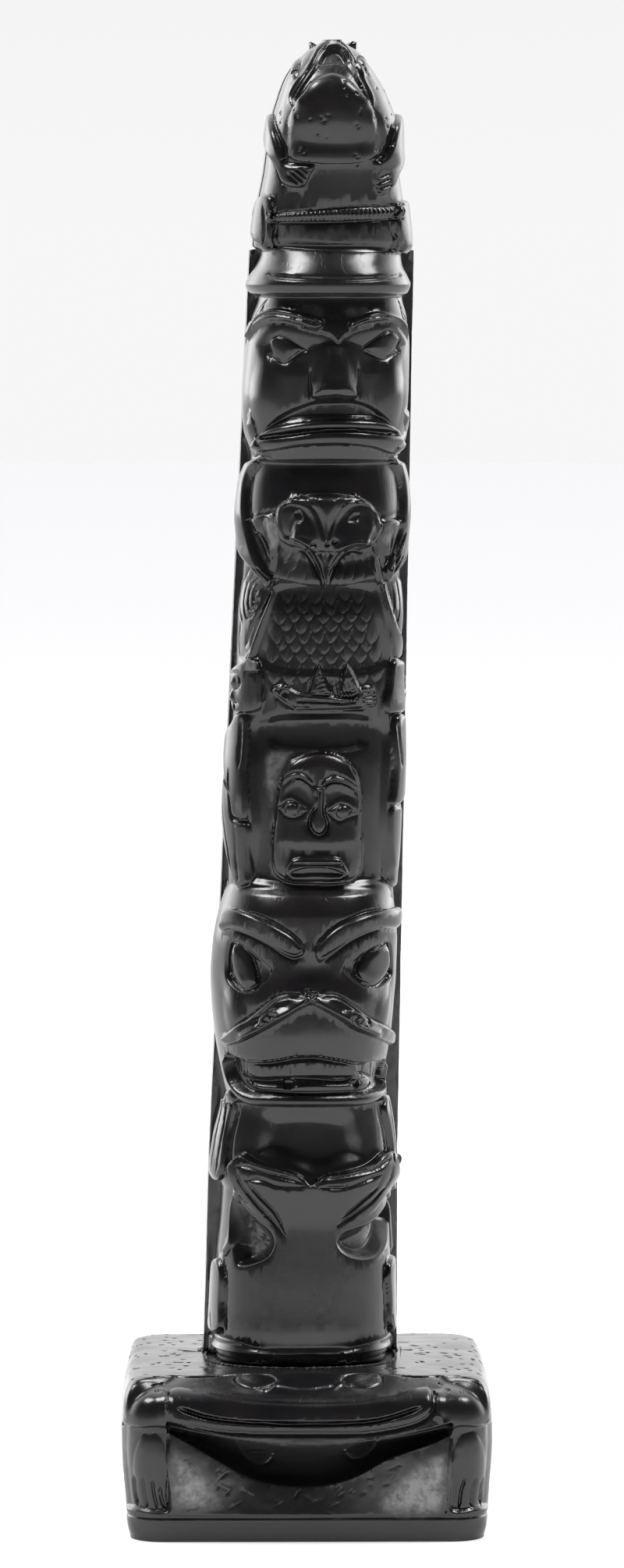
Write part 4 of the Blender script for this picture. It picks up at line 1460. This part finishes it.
@dataclass
class FrogPlinth:
    """Wide low plinth carved as a crouching frog: lips, eyes, forelegs, and the hollow under the lip."""

    cell: float = FINE_CELL
    pits: int = 520
    seed: int = 11
    hollow_depth: float = HOLLOW_DEPTH
    ramp_depth: float = 2.4
    leg_inset: float = 1.3
    girth: float = 370.0
    profile_length: float = 72.0
    coarseness: float = 1.25
    side_share: float = 0.78
    rim_drop: float = 0.3
    recess_softness: float = 3.2
    outer_side: float = 55.0
    eye_depth: float = -34.6
    pit_depth: float = 0.6
    pit_reach: float = 2.2

    def blank(self) -> np.ndarray:
        """Works out the uncarved block.

        Returns:
            Grid of points with columns going round from the middle of the front.
        """
        cols = int(self.girth / self.cell / self.coarseness)
        rows = int(self.profile_length / self.cell / self.coarseness)
        corners = []
        for cx, cy, start in ((1, -1, -90), (1, 1, 0), (-1, 1, 90), (-1, -1, 180)):
            angle = np.radians(start + np.linspace(0, 90, 21))
            corners.append(np.stack([
                cx * (PLINTH_HALF_WIDTH - PLINTH_CORNER_RADIUS) + PLINTH_CORNER_RADIUS * np.cos(angle),
                cy * (PLINTH_HALF_DEPTH - PLINTH_CORNER_RADIUS) + PLINTH_CORNER_RADIUS * np.sin(angle),
            ], axis=-1))
        outer = evenly_spaced(np.vstack([[[0, -PLINTH_HALF_DEPTH]], *corners]), cols)
        inner = evenly_spaced(foot_outline(SEAT_MARGIN), cols)
        steps = round(rows * self.side_share) + 1
        low = [(0, 0), (-0.9, 3), (-1.6, 10), (-PLINTH_BULGE, PLINTH_BULGE_HEIGHT)]
        rim = SEAT_HEIGHT - self.rim_drop
        side = spaced_profile([*low, (-2.6, 34), (-1.4, 40), (0.6, 42.6), (SHOULDER_INSET, rim)], steps)
        front = spaced_profile([*low, (-2.4, 33), (-0.4, 37.8), (6.4, 41), (BROW_INSET, rim)], steps)
        frontness = smooth_step(-PLINTH_HALF_DEPTH + 5, -PLINTH_HALF_DEPTH + 1, outer[:, 1])[None, :]
        k = np.minimum(np.arange(rows + 1), steps - 1)
        t = np.clip((np.arange(rows + 1) - steps + 1) / (rows - steps + 1), 0, 1)[:, None]
        reach = np.linalg.norm(inner - outer, axis=1)[None, :]
        inset = side[k, 0][:, None] * (1 - frontness) + front[k, 0][:, None] * frontness
        rise = side[k, 1][:, None] * (1 - frontness) + front[k, 1][:, None] * frontness
        inset = inset + (reach - inset) * t
        z = rise + (SEAT_HEIGHT - rise) * t
        flat = outer[None] + (inner - outer)[None] * (inset / reach)[..., None]
        return np.concatenate([flat, z[..., None]], axis=-1)

    def hollow(self, x: np.ndarray, z: np.ndarray) -> np.ndarray:
        """Depth of the scooped hollow under the lower lip.

        Args:
            x: Width.
            z: Height.

        Returns:
            The depth, 0 outside the hollow.
        """
        roof = 25.6 + 6.2 * ((x - 1) / 38) ** 2
        foot = BAND_HEIGHT + 0.5 - 0.022 * x
        smile = curve_through([(-40, 31), (-34.1, 28), (-27.9, 24.4), (-19.6, 19.3), (-13.3, 16.2),
                               (1.3, 14.6), (11.7, 16.8), (22.1, 22.4), (34.6, 27), (40, 30)])
        wall = np.interp(x, smile[:, 0], smile[:, 1])
        share = np.clip((z - foot) / (wall - foot), 0, 1)
        behind = np.clip(z - wall, 0, 12)
        recess = (self.hollow_depth - self.ramp_depth) * (1 - np.exp(-behind / self.recess_softness))
        depth = self.ramp_depth * share + recess
        left = HOLLOW_LEFT - 1.3
        right = HOLLOW_RIGHT + 1.9 * np.clip((z - 6) / 22, 0, 1)
        across = smooth_step(left - 0.5, left + 0.9, x) * smooth_step(right + 0.5, right - 0.9, x)
        return depth * smooth_step(roof + 1.0, roof - 0.6, z) * across

    def forms(self, points: np.ndarray) -> np.ndarray:
        """Relief of the main masses.

        Args:
            points: The block's points.

        Returns:
            Relief along the normals.
        """
        x, y, z = points[..., 0], points[..., 1], points[..., 2]
        rows = points.shape[0]
        on_front = smooth_step(-PLINTH_HALF_DEPTH + 10, -PLINTH_HALF_DEPTH + 5, y)
        face = CarvedSheet(x.copy(), np.where(y < 0, z, OUT_OF_REACH), z)
        upper_lip = [(-36.8, 40.4), (-27.9, 40), (-19.6, 38.8), (-11.2, 37.9), (1.2, 37.5), (13.7, 37.9),
                     (22, 39), (32.6, 40.6)]
        parting = [(-34.9, 36.3), (-26.8, 33.8), (-19.6, 32.7), (-11.3, 32.3), (4.7, 32.1), (18.9, 32.9),
                   (26.1, 34.8), (30.7, 36.4)]
        lower_edge = [(33, 35.4), (30.3, 33.1), (17.8, 30.2), (1.2, 29.8), (-19.6, 30.2), (-27.9, 31.1),
                      (-37.2, 33.4)]
        lip_foot = [(38.6, 31.4), (29.5, 28.9), (22, 27.3), (15.4, 26), (1.2, 25.4), (-12.7, 26.3),
                    (-19.6, 27.1), (-26.8, 29), (-37.4, 31.8)]
        face.region([*upper_lip, (33.4, 37), *lower_edge], 1.2, 1.6, Profile.ROUND)
        face.region([*lower_edge, *reversed(lip_foot)], 0.4, 1.5)
        face.stroke(parting, 0.75, -1.5, 3)
        face.ledge([(-36.8, 30.5), (-37.0, 35), (-36.8, 40.5)], 3.5, 0.9, 0.6, 1.5)
        face.ledge([(33.4, 40.5), (34.0, 37), (33.2, 33)], 3.5, 0.9, 0.6, 1.5)
        face.dome((-42.6, 36), 7, 6.5, 1.1, 0, 0.8)
        face.dome((41.4, 36), 8, 6.5, 1.1, 0, 0.8)
        for side, inner in ((-1, 37.2), (1, 38.6)):
            outer, foot = self.outer_side, inner - 0.6
            leg = [(inner, 31.2), ((inner + outer) / 2, 31.6), (outer, 31.2), (outer, 20), (outer, 8.4),
                   ((outer + foot) / 2, 8.2), (foot, 8.4), (inner - 0.2, 20)]
            face.region([(side * across, up) for across, up in leg], -self.leg_inset, 1.2)
            face.dome((side * (inner + 5.0), 19), 5.5, 11, 0.9, 0, 0.8)
        relief = face.relief * on_front
        band = np.exp(-((z - BAND_HEIGHT - 0.4) / 0.45) ** 2)
        relief -= 0.3 * band
        relief -= self.hollow(x, z) * on_front
        row = np.arange(rows)[:, None]
        return relief * smooth_step(0, 2, z) * smooth_step(0, 3 / self.cell, rows - 1 - row)

    def details(self, points: np.ndarray, normals: np.ndarray) -> CarvedSheet:
        """Relief of the fine cuts, pits and tool marks.

        Args:
            points: The points after the first pass.
            normals: Their normals.

        Returns:
            The sheet with its relief.
        """
        x, y, z = points[..., 0], points[..., 1], points[..., 2]
        rng = np.random.default_rng(self.seed)
        rows, cols, _ = points.shape
        front = smooth_step(-PLINTH_HALF_DEPTH + 12, -PLINTH_HALF_DEPTH + 7, y)
        sheet = CarvedSheet(x.copy(), np.where(y < 0, z, OUT_OF_REACH), z)
        for start, end in (((-46.4, 17.6), (-45.2, 9.2)), ((-44, 17.8), (-42.6, 8.8)),
                           ((-41.4, 17.2), (-39.8, 8.6)), ((-39.2, 15.4), (-37.8, 8.4)),
                           ((42.2, 17.4), (40.4, 8.8)), ((45, 17.2), (43.8, 8.8)),
                           ((47.2, 16.6), (46.4, 9))):
            middle = ((start[0] + end[0]) / 2 - 0.4, (start[1] + end[1]) / 2)
            sheet.stroke([start, middle, end], 0.75, -0.9, 1.5)
        sheet.stroke([(-37.0, 30), (-37.2, 20), (-37.4, 9.6)], 0.5, -0.8, 1)
        sheet.stroke([(38.6, 29), (38.2, 18), (36.8, 7.4)], 0.35, -0.5, 1)
        sheet.stroke([(-34.9, 36.3), (-26.8, 33.8), (-11.3, 32.3), (4.7, 32.1), (18.9, 32.9), (30.7, 36.4)],
                     0.4, -0.6, 3, Profile.SHARP)
        for flare in (((-14.2, 40.9), (-11.4, 40.1), (-8.6, 41.3)),
                      ((6.8, 40.1), (9.4, 41.3), (12.2, 40.9)),
                      ((-8.6, 41.2), (-1, 40.5), (6.8, 41.1))):
            sheet.stroke(list(flare), 0.4, 0.4, 0.8)
        for _ in range(70):
            sx, sz = rng.uniform(-35, 36), rng.uniform(8, 25)
            angle, size = rng.uniform(-0.6, 1.2), rng.uniform(1.0, 5.0)
            sheet.stroke([(sx, sz), (sx + size * math.cos(angle), sz + size * math.sin(angle))], 0.16,
                         -rng.uniform(0.04, 0.12), 0.6)
        sheet.relief *= front
        sheet.tooled([(-36.6, 27), (-30, 23), (-24, 17), (-22, 9), (-36.8, 8.4)], 0.5, 0.75, 6)
        sheet.tooled([(18, 12), (26, 20), (37.4, 25), (37, 7.4), (20, 7.2)], 0.5, 1.0, 6)
        sheet.tooled([(-47.6, 18), (-38, 18), (-38, 8), (-47.6, 8)], 0.35, 0.04, 2)
        flat = CarvedSheet(x.copy(), y.copy())
        for eye in (-13.8, 14.7):
            turns = np.linspace(0, 2 * math.pi, 15)
            ring = [(eye + 5.4 * math.cos(a), self.eye_depth + 3.6 * math.sin(a)) for a in turns]
            flat.stroke(ring, 0.45, -0.4)
            flat.dome((eye, self.eye_depth), 5.0, 3.2, 0.25)
        for arc in (((-38, -33), (-31, -34.6), (-22, -33), (-17, -31)),
                    ((38, -33), (31, -34.6), (23, -33), (18, -31))):
            flat.stroke(list(arc), 0.45, -0.4, 3)
        sheet.relief += flat.relief * smooth_step(0.25, 0.45, normals[..., 2])
        bare = np.abs(x) < 34
        for _ in range(self.pits):
            j, i = rng.integers(int(rows * 0.34), rows - 10), rng.integers(0, cols)
            centre = points[j, i]
            if centre[1] < -24 and bare[j, i] or (centre[1] < -38 and centre[2] < 39):
                continue
            if centre[2] < 38 and rng.uniform() < 0.75:
                continue
            reach = int(self.pit_reach / self.cell)
            js = slice(max(0, j - reach), j + reach)
            ids = np.arange(i - reach, i + reach) % cols
            turn = rng.uniform(0, math.pi)
            away = points[js][:, ids] - centre
            along = away @ np.array([math.cos(turn), math.sin(turn), 0.0])
            gap = np.sqrt(np.clip((away ** 2).sum(axis=-1) - 0.65 * along ** 2, 0, None))
            patch = sheet.relief[js]
            patch[:, ids] -= self.pit_depth * smooth_step(1, 0.3, gap / rng.uniform(0.4, 0.72))
        row = np.arange(rows)[:, None]
        sheet.relief += 0.1 * value_noise(points, 6.0, 31) + 0.03 * value_noise(points, 1.7, 32) - 0.12
        sheet.relief *= smooth_step(0, 3 / self.cell, rows - 1 - row) * smooth_step(0, 1, z)
        return sheet

    def build(self) -> Shell:
        """Carves the plinth in two passes.

        Returns:
            The finished surface in the shared frame.
        """
        points = self.blank()
        normals = sheet_normals(points, True)
        points = points + normals * self.forms(points)[..., None]
        flat = points[..., :2].reshape(-1, 2)
        points[..., :2] -= (flat.min(axis=0) + flat.max(axis=0)) / 2
        normals = sheet_normals(points, True)
        sheet = self.details(points, normals)
        points = points + normals * sheet.relief[..., None]
        foot = np.array([0.0, 0.0, 0.0])
        top = np.array([POLE_SHIFT, -4.0, SEAT_HEIGHT])
        return Shell(points, sheet_normals(points, True), sheet.rough, sheet.dust, foot, top)


def new_group(name: str, tree_type: str, inputs: dict[str, tuple[str, object]],
              output: tuple[str, str]) -> bpy.types.NodeTree:
    """Makes a node group with named sockets.

    Args:
        name: Name of the group.
        tree_type: ShaderNodeTree or GeometryNodeTree.
        inputs: Type and default value of each input, None where it has no default.
        output: Name and type of its output.

    Returns:
        The group, still without nodes.
    """
    tree = bpy.data.node_groups.new(name, tree_type)
    for label, (socket_type, value) in inputs.items():
        kind = "NodeSocket" + socket_type
        socket = tree.interface.new_socket(name=label, in_out="INPUT", socket_type=kind)
        if value is not None:
            socket.default_value = value
    tree.interface.new_socket(name=output[0], in_out="OUTPUT", socket_type="NodeSocket" + output[1])
    return tree


def add_node(tree: bpy.types.NodeTree, kind: str, values: dict[str | int, object] | None = None,
             **settings: object) -> bpy.types.Node:
    """Adds a node and sets it up.

    Args:
        tree: The tree that gets the node.
        kind: Blender's name for the node's type.
        values: Input values by the socket's name or number.
        settings: The node's own properties.

    Returns:
        The new node.
    """
    node = tree.nodes.new(kind)
    for name, value in settings.items():
        setattr(node, name, value)
    for socket, value in (values or {}).items():
        node.inputs[socket].default_value = value
    return node


def join(tree: bpy.types.NodeTree, *links: Link) -> None:
    """Links outputs to inputs, each given as a node and its socket."""
    for source, output, target, entry in links:
        tree.links.new(source.outputs[output], target.inputs[entry])


def scratch_group() -> bpy.types.ShaderNodeTree:
    """Builds the group that gives thin long scratches.

    Returns:
        The node group, with a Mask output.
    """
    tree = new_group("thin_scratches", "ShaderNodeTree", {
        "Vector": ("Vector", None), "Scale": ("Float", 60.0), "Thinness": ("Float", 0.02),
    }, ("Mask", "Float"))
    start, end = add_node(tree, "NodeGroupInput"), add_node(tree, "NodeGroupOutput")
    stretch = add_node(tree, "ShaderNodeMapping", {"Scale": (1.0, 1.0, 0.09), "Rotation": (0.2, 0.35, 0.1)})
    noise = add_node(tree, "ShaderNodeTexNoise", {"Detail": 3.0})
    centre = add_node(tree, "ShaderNodeMath", {1: 0.5}, operation="SUBTRACT")
    size = add_node(tree, "ShaderNodeMath", operation="ABSOLUTE")
    cut = add_node(tree, "ShaderNodeMapRange", {"From Min": 0.0, "To Min": 1.0, "To Max": 0.0})
    join(tree, (start, "Vector", stretch, "Vector"), (stretch, "Vector", noise, "Vector"),
         (start, "Scale", noise, "Scale"), (noise, "Fac", centre, 0), (centre, 0, size, 0),
         (size, 0, cut, "Value"), (start, "Thinness", cut, "From Max"), (cut, "Result", end, "Mask"))
    return tree


def patch_group() -> bpy.types.ShaderNodeTree:
    """Builds the group that mixes a soft, patchy value between two limits.

    Returns:
        The node group, with a Value output.
    """
    tree = new_group("patchy_value", "ShaderNodeTree", {
        "Vector": ("Vector", None), "Scale": ("Float", 30.0), "Low": ("Float", 0.2), "High": ("Float", 0.4),
    }, ("Value", "Float"))
    start, end = add_node(tree, "NodeGroupInput"), add_node(tree, "NodeGroupOutput")
    noise = add_node(tree, "ShaderNodeTexNoise", {"Detail": 5.0, "Roughness": 0.6})
    spread = add_node(tree, "ShaderNodeMapRange", {"From Min": 0.32, "From Max": 0.68})
    join(tree, (start, "Vector", noise, "Vector"), (start, "Scale", noise, "Scale"),
         (noise, "Fac", spread, "Value"), (start, "Low", spread, "To Min"),
         (start, "High", spread, "To Max"), (spread, "Result", end, "Value"))
    return tree


def bead_tree() -> bpy.types.GeometryNodeTree:
    """Builds the tree that lays small uneven beads along a line of edges.

    Returns:
        The node tree, with named inputs for its sizes.
    """
    tree = new_group("uneven_beads", "GeometryNodeTree", {
        "Geometry": ("Geometry", None), "Spacing": ("Float", 0.0006), "Bead Radius": ("Float", 0.0004),
        "Seed": ("Int", 5), "Material": ("Material", None)}, ("Geometry", "Geometry"))
    start, end = add_node(tree, "NodeGroupInput"), add_node(tree, "NodeGroupOutput")
    curve = add_node(tree, "GeometryNodeMeshToCurve")
    spaced = add_node(tree, "GeometryNodeResampleCurve", mode="LENGTH")
    bead = add_node(tree, "GeometryNodeMeshIcoSphere", {"Subdivisions": 2})
    marked = add_node(tree, "GeometryNodeStoreNamedAttribute", {"Name": "tooled", "Value": 1.0})
    size = add_node(tree, "FunctionNodeRandomValue", {0: (0.7, 0.7, 0.45), 1: (1.7, 1.7, 1.1)},
                    data_type="FLOAT_VECTOR")
    turn = add_node(tree, "FunctionNodeRandomValue", {1: (0.6, 0.6, 6.28)}, data_type="FLOAT_VECTOR")
    row = add_node(tree, "GeometryNodeInstanceOnPoints")
    solid = add_node(tree, "GeometryNodeRealizeInstances")
    dressed = add_node(tree, "GeometryNodeSetMaterial")
    join(tree, (start, "Geometry", curve, "Mesh"), (curve, "Curve", spaced, "Curve"),
         (start, "Spacing", spaced, "Length"), (start, "Bead Radius", bead, "Radius"),
         (bead, "Mesh", marked, "Geometry"), (spaced, "Curve", row, "Points"),
         (marked, "Geometry", row, "Instance"), (start, "Seed", size, "Seed"), (size, 0, row, "Scale"),
         (start, "Seed", turn, "Seed"), (turn, 0, row, "Rotation"), (row, "Instances", solid, "Geometry"),
         (solid, "Geometry", dressed, "Geometry"), (start, "Material", dressed, "Material"),
         (dressed, "Geometry", end, "Geometry"))
    return tree


@dataclass
class GlueLine:
    """Dark glue that was squeezed out where the pole stands on the plinth."""

    spacing: float = 0.6
    bead_radius: float = 0.36
    lift: float = 0.12
    seed: int = 5

    def beads(self, material: bpy.types.Material) -> bpy.types.Mesh:
        """Lays the beads round the pole's foot.

        Args:
            material: Finish of the beads.

        Returns:
            The beads as one plain mesh.
        """
        outline = foot_outline(0.0)
        count = len(outline)
        vertices = [(x * MM, y * MM, (SEAT_HEIGHT + self.lift) * MM) for x, y in outline]
        line = bpy.data.meshes.new("glue_path")
        line.from_pydata(vertices, [(k, (k + 1) % count) for k in range(count)], [])
        path = bpy.data.objects.new("glue_path", line)
        bpy.context.scene.collection.objects.link(path)
        tree = bead_tree()
        layer = path.modifiers.new("beads", "NODES")
        layer.node_group = tree
        values = {"Spacing": self.spacing * MM, "Bead Radius": self.bead_radius * MM, "Seed": self.seed,
                  "Material": material}
        for socket in tree.interface.items_tree:
            if socket.in_out == "INPUT" and socket.name in values:
                layer[socket.identifier] = values[socket.name]
        mesh = bpy.data.meshes.new_from_object(path.evaluated_get(bpy.context.evaluated_depsgraph_get()))
        path.modifiers.clear()
        bpy.data.objects.remove(path)
        return mesh

    def lay_on(self, piece: bpy.types.Object, material: bpy.types.Material) -> None:
        """Adds the beads to the plinth's mesh.

        Args:
            piece: The plinth.
            material: Finish of the beads.
        """
        beads = self.beads(material)
        both = bmesh.new()
        both.from_mesh(piece.data)
        both.from_mesh(beads)
        both.to_mesh(piece.data)
        both.free()
        LOG.info("glue line: %d triangles", len(beads.polygons))


@dataclass(frozen=True)
class PolishedStone:
    """Black argillite, polished on its high places and left rough from the knife in its recesses."""

    name: str = "black_stone"
    deep_colour: tuple[float, float, float] = (0.0042, 0.0039, 0.0048)
    pale_colour: tuple[float, float, float] = (0.0105, 0.0092, 0.0098)
    dust_colour: tuple[float, float, float] = (0.25, 0.245, 0.245)
    refraction: float = 1.55
    smooth_low: float = 0.16
    smooth_high: float = 0.28
    tooled_roughness: float = 0.3
    scratch_depth: float = 0.02
    scratch_thinness: float = 0.012
    grain_depth: float = 0.015
    tooled_depth: float = 0.12
    bump_strength: float = 0.6
    tint_patches: tuple[float, float, float] = (60.0, 0.0, 1.0)
    dust_patches: tuple[float, float, float] = (420.0, 0.25, 1.5)
    gloss_scale: float = 45.0

    def material(self, scratches: bpy.types.ShaderNodeTree,
                 patches: bpy.types.ShaderNodeTree) -> bpy.types.Material:
        """Builds the material.

        Args:
            scratches: The thin scratch group.
            patches: The patchy value group.

        Returns:
            The new material.
        """
        stone = bpy.data.materials.new(self.name)
        stone.use_nodes = True
        tree = stone.node_tree
        shader = tree.nodes["Principled BSDF"]
        shader.inputs["IOR"].default_value = self.refraction
        place = add_node(tree, "ShaderNodeTexCoord")
        dusty = add_node(tree, "ShaderNodeAttribute", attribute_name="dusty")
        tooled = add_node(tree, "ShaderNodeAttribute", attribute_name="tooled")
        gloss_patches = (self.gloss_scale, self.smooth_low, self.smooth_high)
        tint, gloss, settled = (
            add_node(tree, "ShaderNodeGroup", {"Scale": scale, "Low": low, "High": high}, node_tree=patches)
            for scale, low, high in (self.tint_patches, gloss_patches, self.dust_patches))
        lines = add_node(tree, "ShaderNodeGroup", {"Scale": 160.0, "Thinness": self.scratch_thinness},
                         node_tree=scratches)
        grain = add_node(tree, "ShaderNodeTexNoise", {"Scale": 900.0, "Detail": 4.0})
        colours = add_node(tree, "ShaderNodeMix", {6: (*self.deep_colour, 1), 7: (*self.pale_colour, 1)},
                           data_type="RGBA")
        dusted = add_node(tree, "ShaderNodeMix", {7: (*self.dust_colour, 1)}, data_type="RGBA")
        broken = add_node(tree, "ShaderNodeMath", operation="MULTIPLY", use_clamp=True)
        marked = add_node(tree, "ShaderNodeMath", {1: self.tooled_roughness}, operation="MULTIPLY_ADD")
        rougher = add_node(tree, "ShaderNodeMath", {1: self.tooled_depth, 2: self.grain_depth},
                           operation="MULTIPLY_ADD")
        grained = add_node(tree, "ShaderNodeMath", operation="MULTIPLY")
        heights = add_node(tree, "ShaderNodeMath", {1: -self.scratch_depth}, operation="MULTIPLY_ADD")
        bump = add_node(tree, "ShaderNodeBump", {"Distance": MM, "Strength": self.bump_strength})
        join(tree, *((place, "Object", node, "Vector") for node in (tint, gloss, settled, lines, grain)))
        join(tree, (tint, "Value", colours, 0), (colours, 2, dusted, 6), (dusty, "Fac", broken, 0),
             (settled, "Value", broken, 1), (broken, 0, dusted, 0), (dusted, 2, shader, "Base Color"))
        join(tree, (tooled, "Fac", marked, 0), (gloss, "Value", marked, 2),
             (marked, 0, shader, "Roughness"))
        join(tree, (tooled, "Fac", rougher, 0), (grain, "Fac", grained, 0), (rougher, 0, grained, 1),
             (lines, "Mask", heights, 0), (grained, 0, heights, 2), (heights, 0, bump, "Height"),
             (bump, "Normal", shader, "Normal"))
        return stone


@dataclass
class Studio:
    """Pale floor in a pale room, two soft boxes, and the camera at the photograph's angle."""

    camera_place: tuple[float, float, float] = (-0.020, -2.0, 0.350)
    camera_pitch: float = 4.302
    camera_turn: float = 0.6212
    lens: float = 170.12
    floor_reach: float = 9.0
    floor_front: float = -1.75
    floor_tone: float = 0.84
    floor_lift: float = 0.13
    dark_room: float = 0.07
    front_glow: float = 0.38
    bright_room: float = 5.0
    far_share: float = 0.28
    high_share: float = 0.4
    low_tone: float = 0.935
    high_tone: float = 0.9
    box_size: float = 0.8

    def camera(self) -> None:
        """Places the camera."""
        data = bpy.data.cameras.new("photo_view")
        data.lens = self.lens
        data.sensor_width = 36.0
        data.clip_end = 30.0
        view = bpy.data.objects.new("photo_view", data)
        view.location = self.camera_place
        view.rotation_euler = (math.radians(90 - self.camera_pitch), 0, -math.radians(self.camera_turn))
        bpy.context.scene.collection.objects.link(view)
        bpy.context.scene.camera = view

    def floor(self) -> None:
        """Lays the flat pale floor, which glows a little so that it meets the room without a line."""
        reach, front = self.floor_reach, self.floor_front
        mesh = bpy.data.meshes.new("studio_sweep")
        mesh.from_pydata([(-reach, front, 0), (reach, front, 0), (reach, reach, 0), (-reach, reach, 0)], [],
                         [(0, 1, 2, 3)])
        paper = bpy.data.materials.new("pale_paper")
        paper.use_nodes = True
        shader = paper.node_tree.nodes["Principled BSDF"]
        for socket, value in {
            "Base Color": (self.floor_tone, self.floor_tone, self.floor_tone * 1.01, 1), "Roughness": 0.8,
            "Specular IOR Level": 0.0, "Emission Color": (1, 1, 1, 1), "Emission Strength": self.floor_lift,
        }.items():
            shader.inputs[socket].default_value = value
        mesh.materials.append(paper)
        floor = bpy.data.objects.new("studio_sweep", mesh)
        bpy.context.scene.collection.objects.link(floor)

    def soft_box(self, name: str, place: tuple[float, float, float], power: float) -> None:
        """Hangs one square soft box that faces the middle of the pole.

        Args:
            name: Name of the light.
            place: Middle of the box.
            power: Watts.
        """
        data = bpy.data.lights.new(name, "AREA")
        data.shape = "RECTANGLE"
        data.size = data.size_y = self.box_size
        data.energy = power
        light = bpy.data.objects.new(name, data)
        light.location = place
        light.rotation_euler = (Vector((0, 0, 0.2)) - Vector(place)).to_track_quat("-Z", "Y").to_euler()
        bpy.context.scene.collection.objects.link(light)

    def room(self) -> None:
        """Gives the room bright sides and a dark front to reflect, and one plain pale tone to look at."""
        room = bpy.data.worlds.new("studio_room")
        room.use_nodes = True
        tree = room.node_tree
        background = tree.nodes["Background"]
        background.inputs["Color"].default_value = (1.0, 0.99, 1.0, 1)
        place, split = add_node(tree, "ShaderNodeTexCoord"), add_node(tree, "ShaderNodeSeparateXYZ")
        join(tree, (place, "Generated", split, "Vector"))
        eased = []
        for axis, start, end, first, last in (
            ("Z", -0.03, 0.3, self.front_glow, self.dark_room),
            ("Y", -0.15, 0.6, 0.0, 1.0),
            ("Y", 0.75, 0.97, 1.0, self.far_share),
            ("Z", 0.22, 0.75, 1.0, self.high_share),
        ):
            values = {"From Min": start, "From Max": end, "To Min": first, "To Max": last}
            step = add_node(tree, "ShaderNodeMapRange", values, interpolation_type="SMOOTHSTEP")
            join(tree, (split, axis, step, "Value"))
            eased.append(step)
        front, sides, far, above = eased
        walls = add_node(tree, "ShaderNodeMix", {3: self.bright_room})
        behind = add_node(tree, "ShaderNodeMath", operation="MULTIPLY")
        lit = add_node(tree, "ShaderNodeMath", operation="MULTIPLY")
        backdrop = add_node(tree, "ShaderNodeMapRange", {
            "From Min": 0.0, "From Max": 0.06, "To Min": self.low_tone, "To Max": self.high_tone})
        seen, pick = add_node(tree, "ShaderNodeLightPath"), add_node(tree, "ShaderNodeMix")
        join(tree, (sides, "Result", walls, 0), (front, "Result", walls, 2), (walls, 0, behind, 0),
             (far, "Result", behind, 1), (behind, 0, lit, 0), (above, "Result", lit, 1),
             (split, "Z", backdrop, "Value"), (seen, "Is Camera Ray", pick, 0), (lit, 0, pick, 2),
             (backdrop, "Result", pick, 3), (pick, 0, background, "Strength"))
        bpy.context.scene.world = room

    def build(self) -> None:
        """Makes the whole studio."""
        self.camera()
        self.floor()
        self.room()
        self.soft_box("left_box", (-1.0, -0.33, 2.2), 36)
        self.soft_box("right_box", (1.0, -0.33, 2.2), 34)
        bpy.context.scene.view_settings.view_transform = "Standard"


def main() -> None:
    """Builds the totem pole piece by piece."""
    logging.basicConfig(level=logging.INFO, format="%(name)s %(message)s")
    LOG.info("nodes of the frame: %s", ", ".join(sorted(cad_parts)))
    cell = FINE_CELL
    stone = PolishedStone().material(scratch_group(), patch_group())
    for builder, name, node, budget in (
        (CarvedPole(cell=cell), "pole_carving", "carved_pole", POLE_FACES),
        (FrogPlinth(cell=cell), "frog_carving", "frog_base", PLINTH_FACES),
    ):
        piece = builder.build().to_object(name, budget)
        piece.data.materials.append(stone)
        if node == "frog_base":
            GlueLine().lay_on(piece, stone)
        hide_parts(node)
        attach(piece, "root")
        LOG.info("%s stands for %s", name, node)
    Studio().build()


if __name__ == "__main__":
    main()
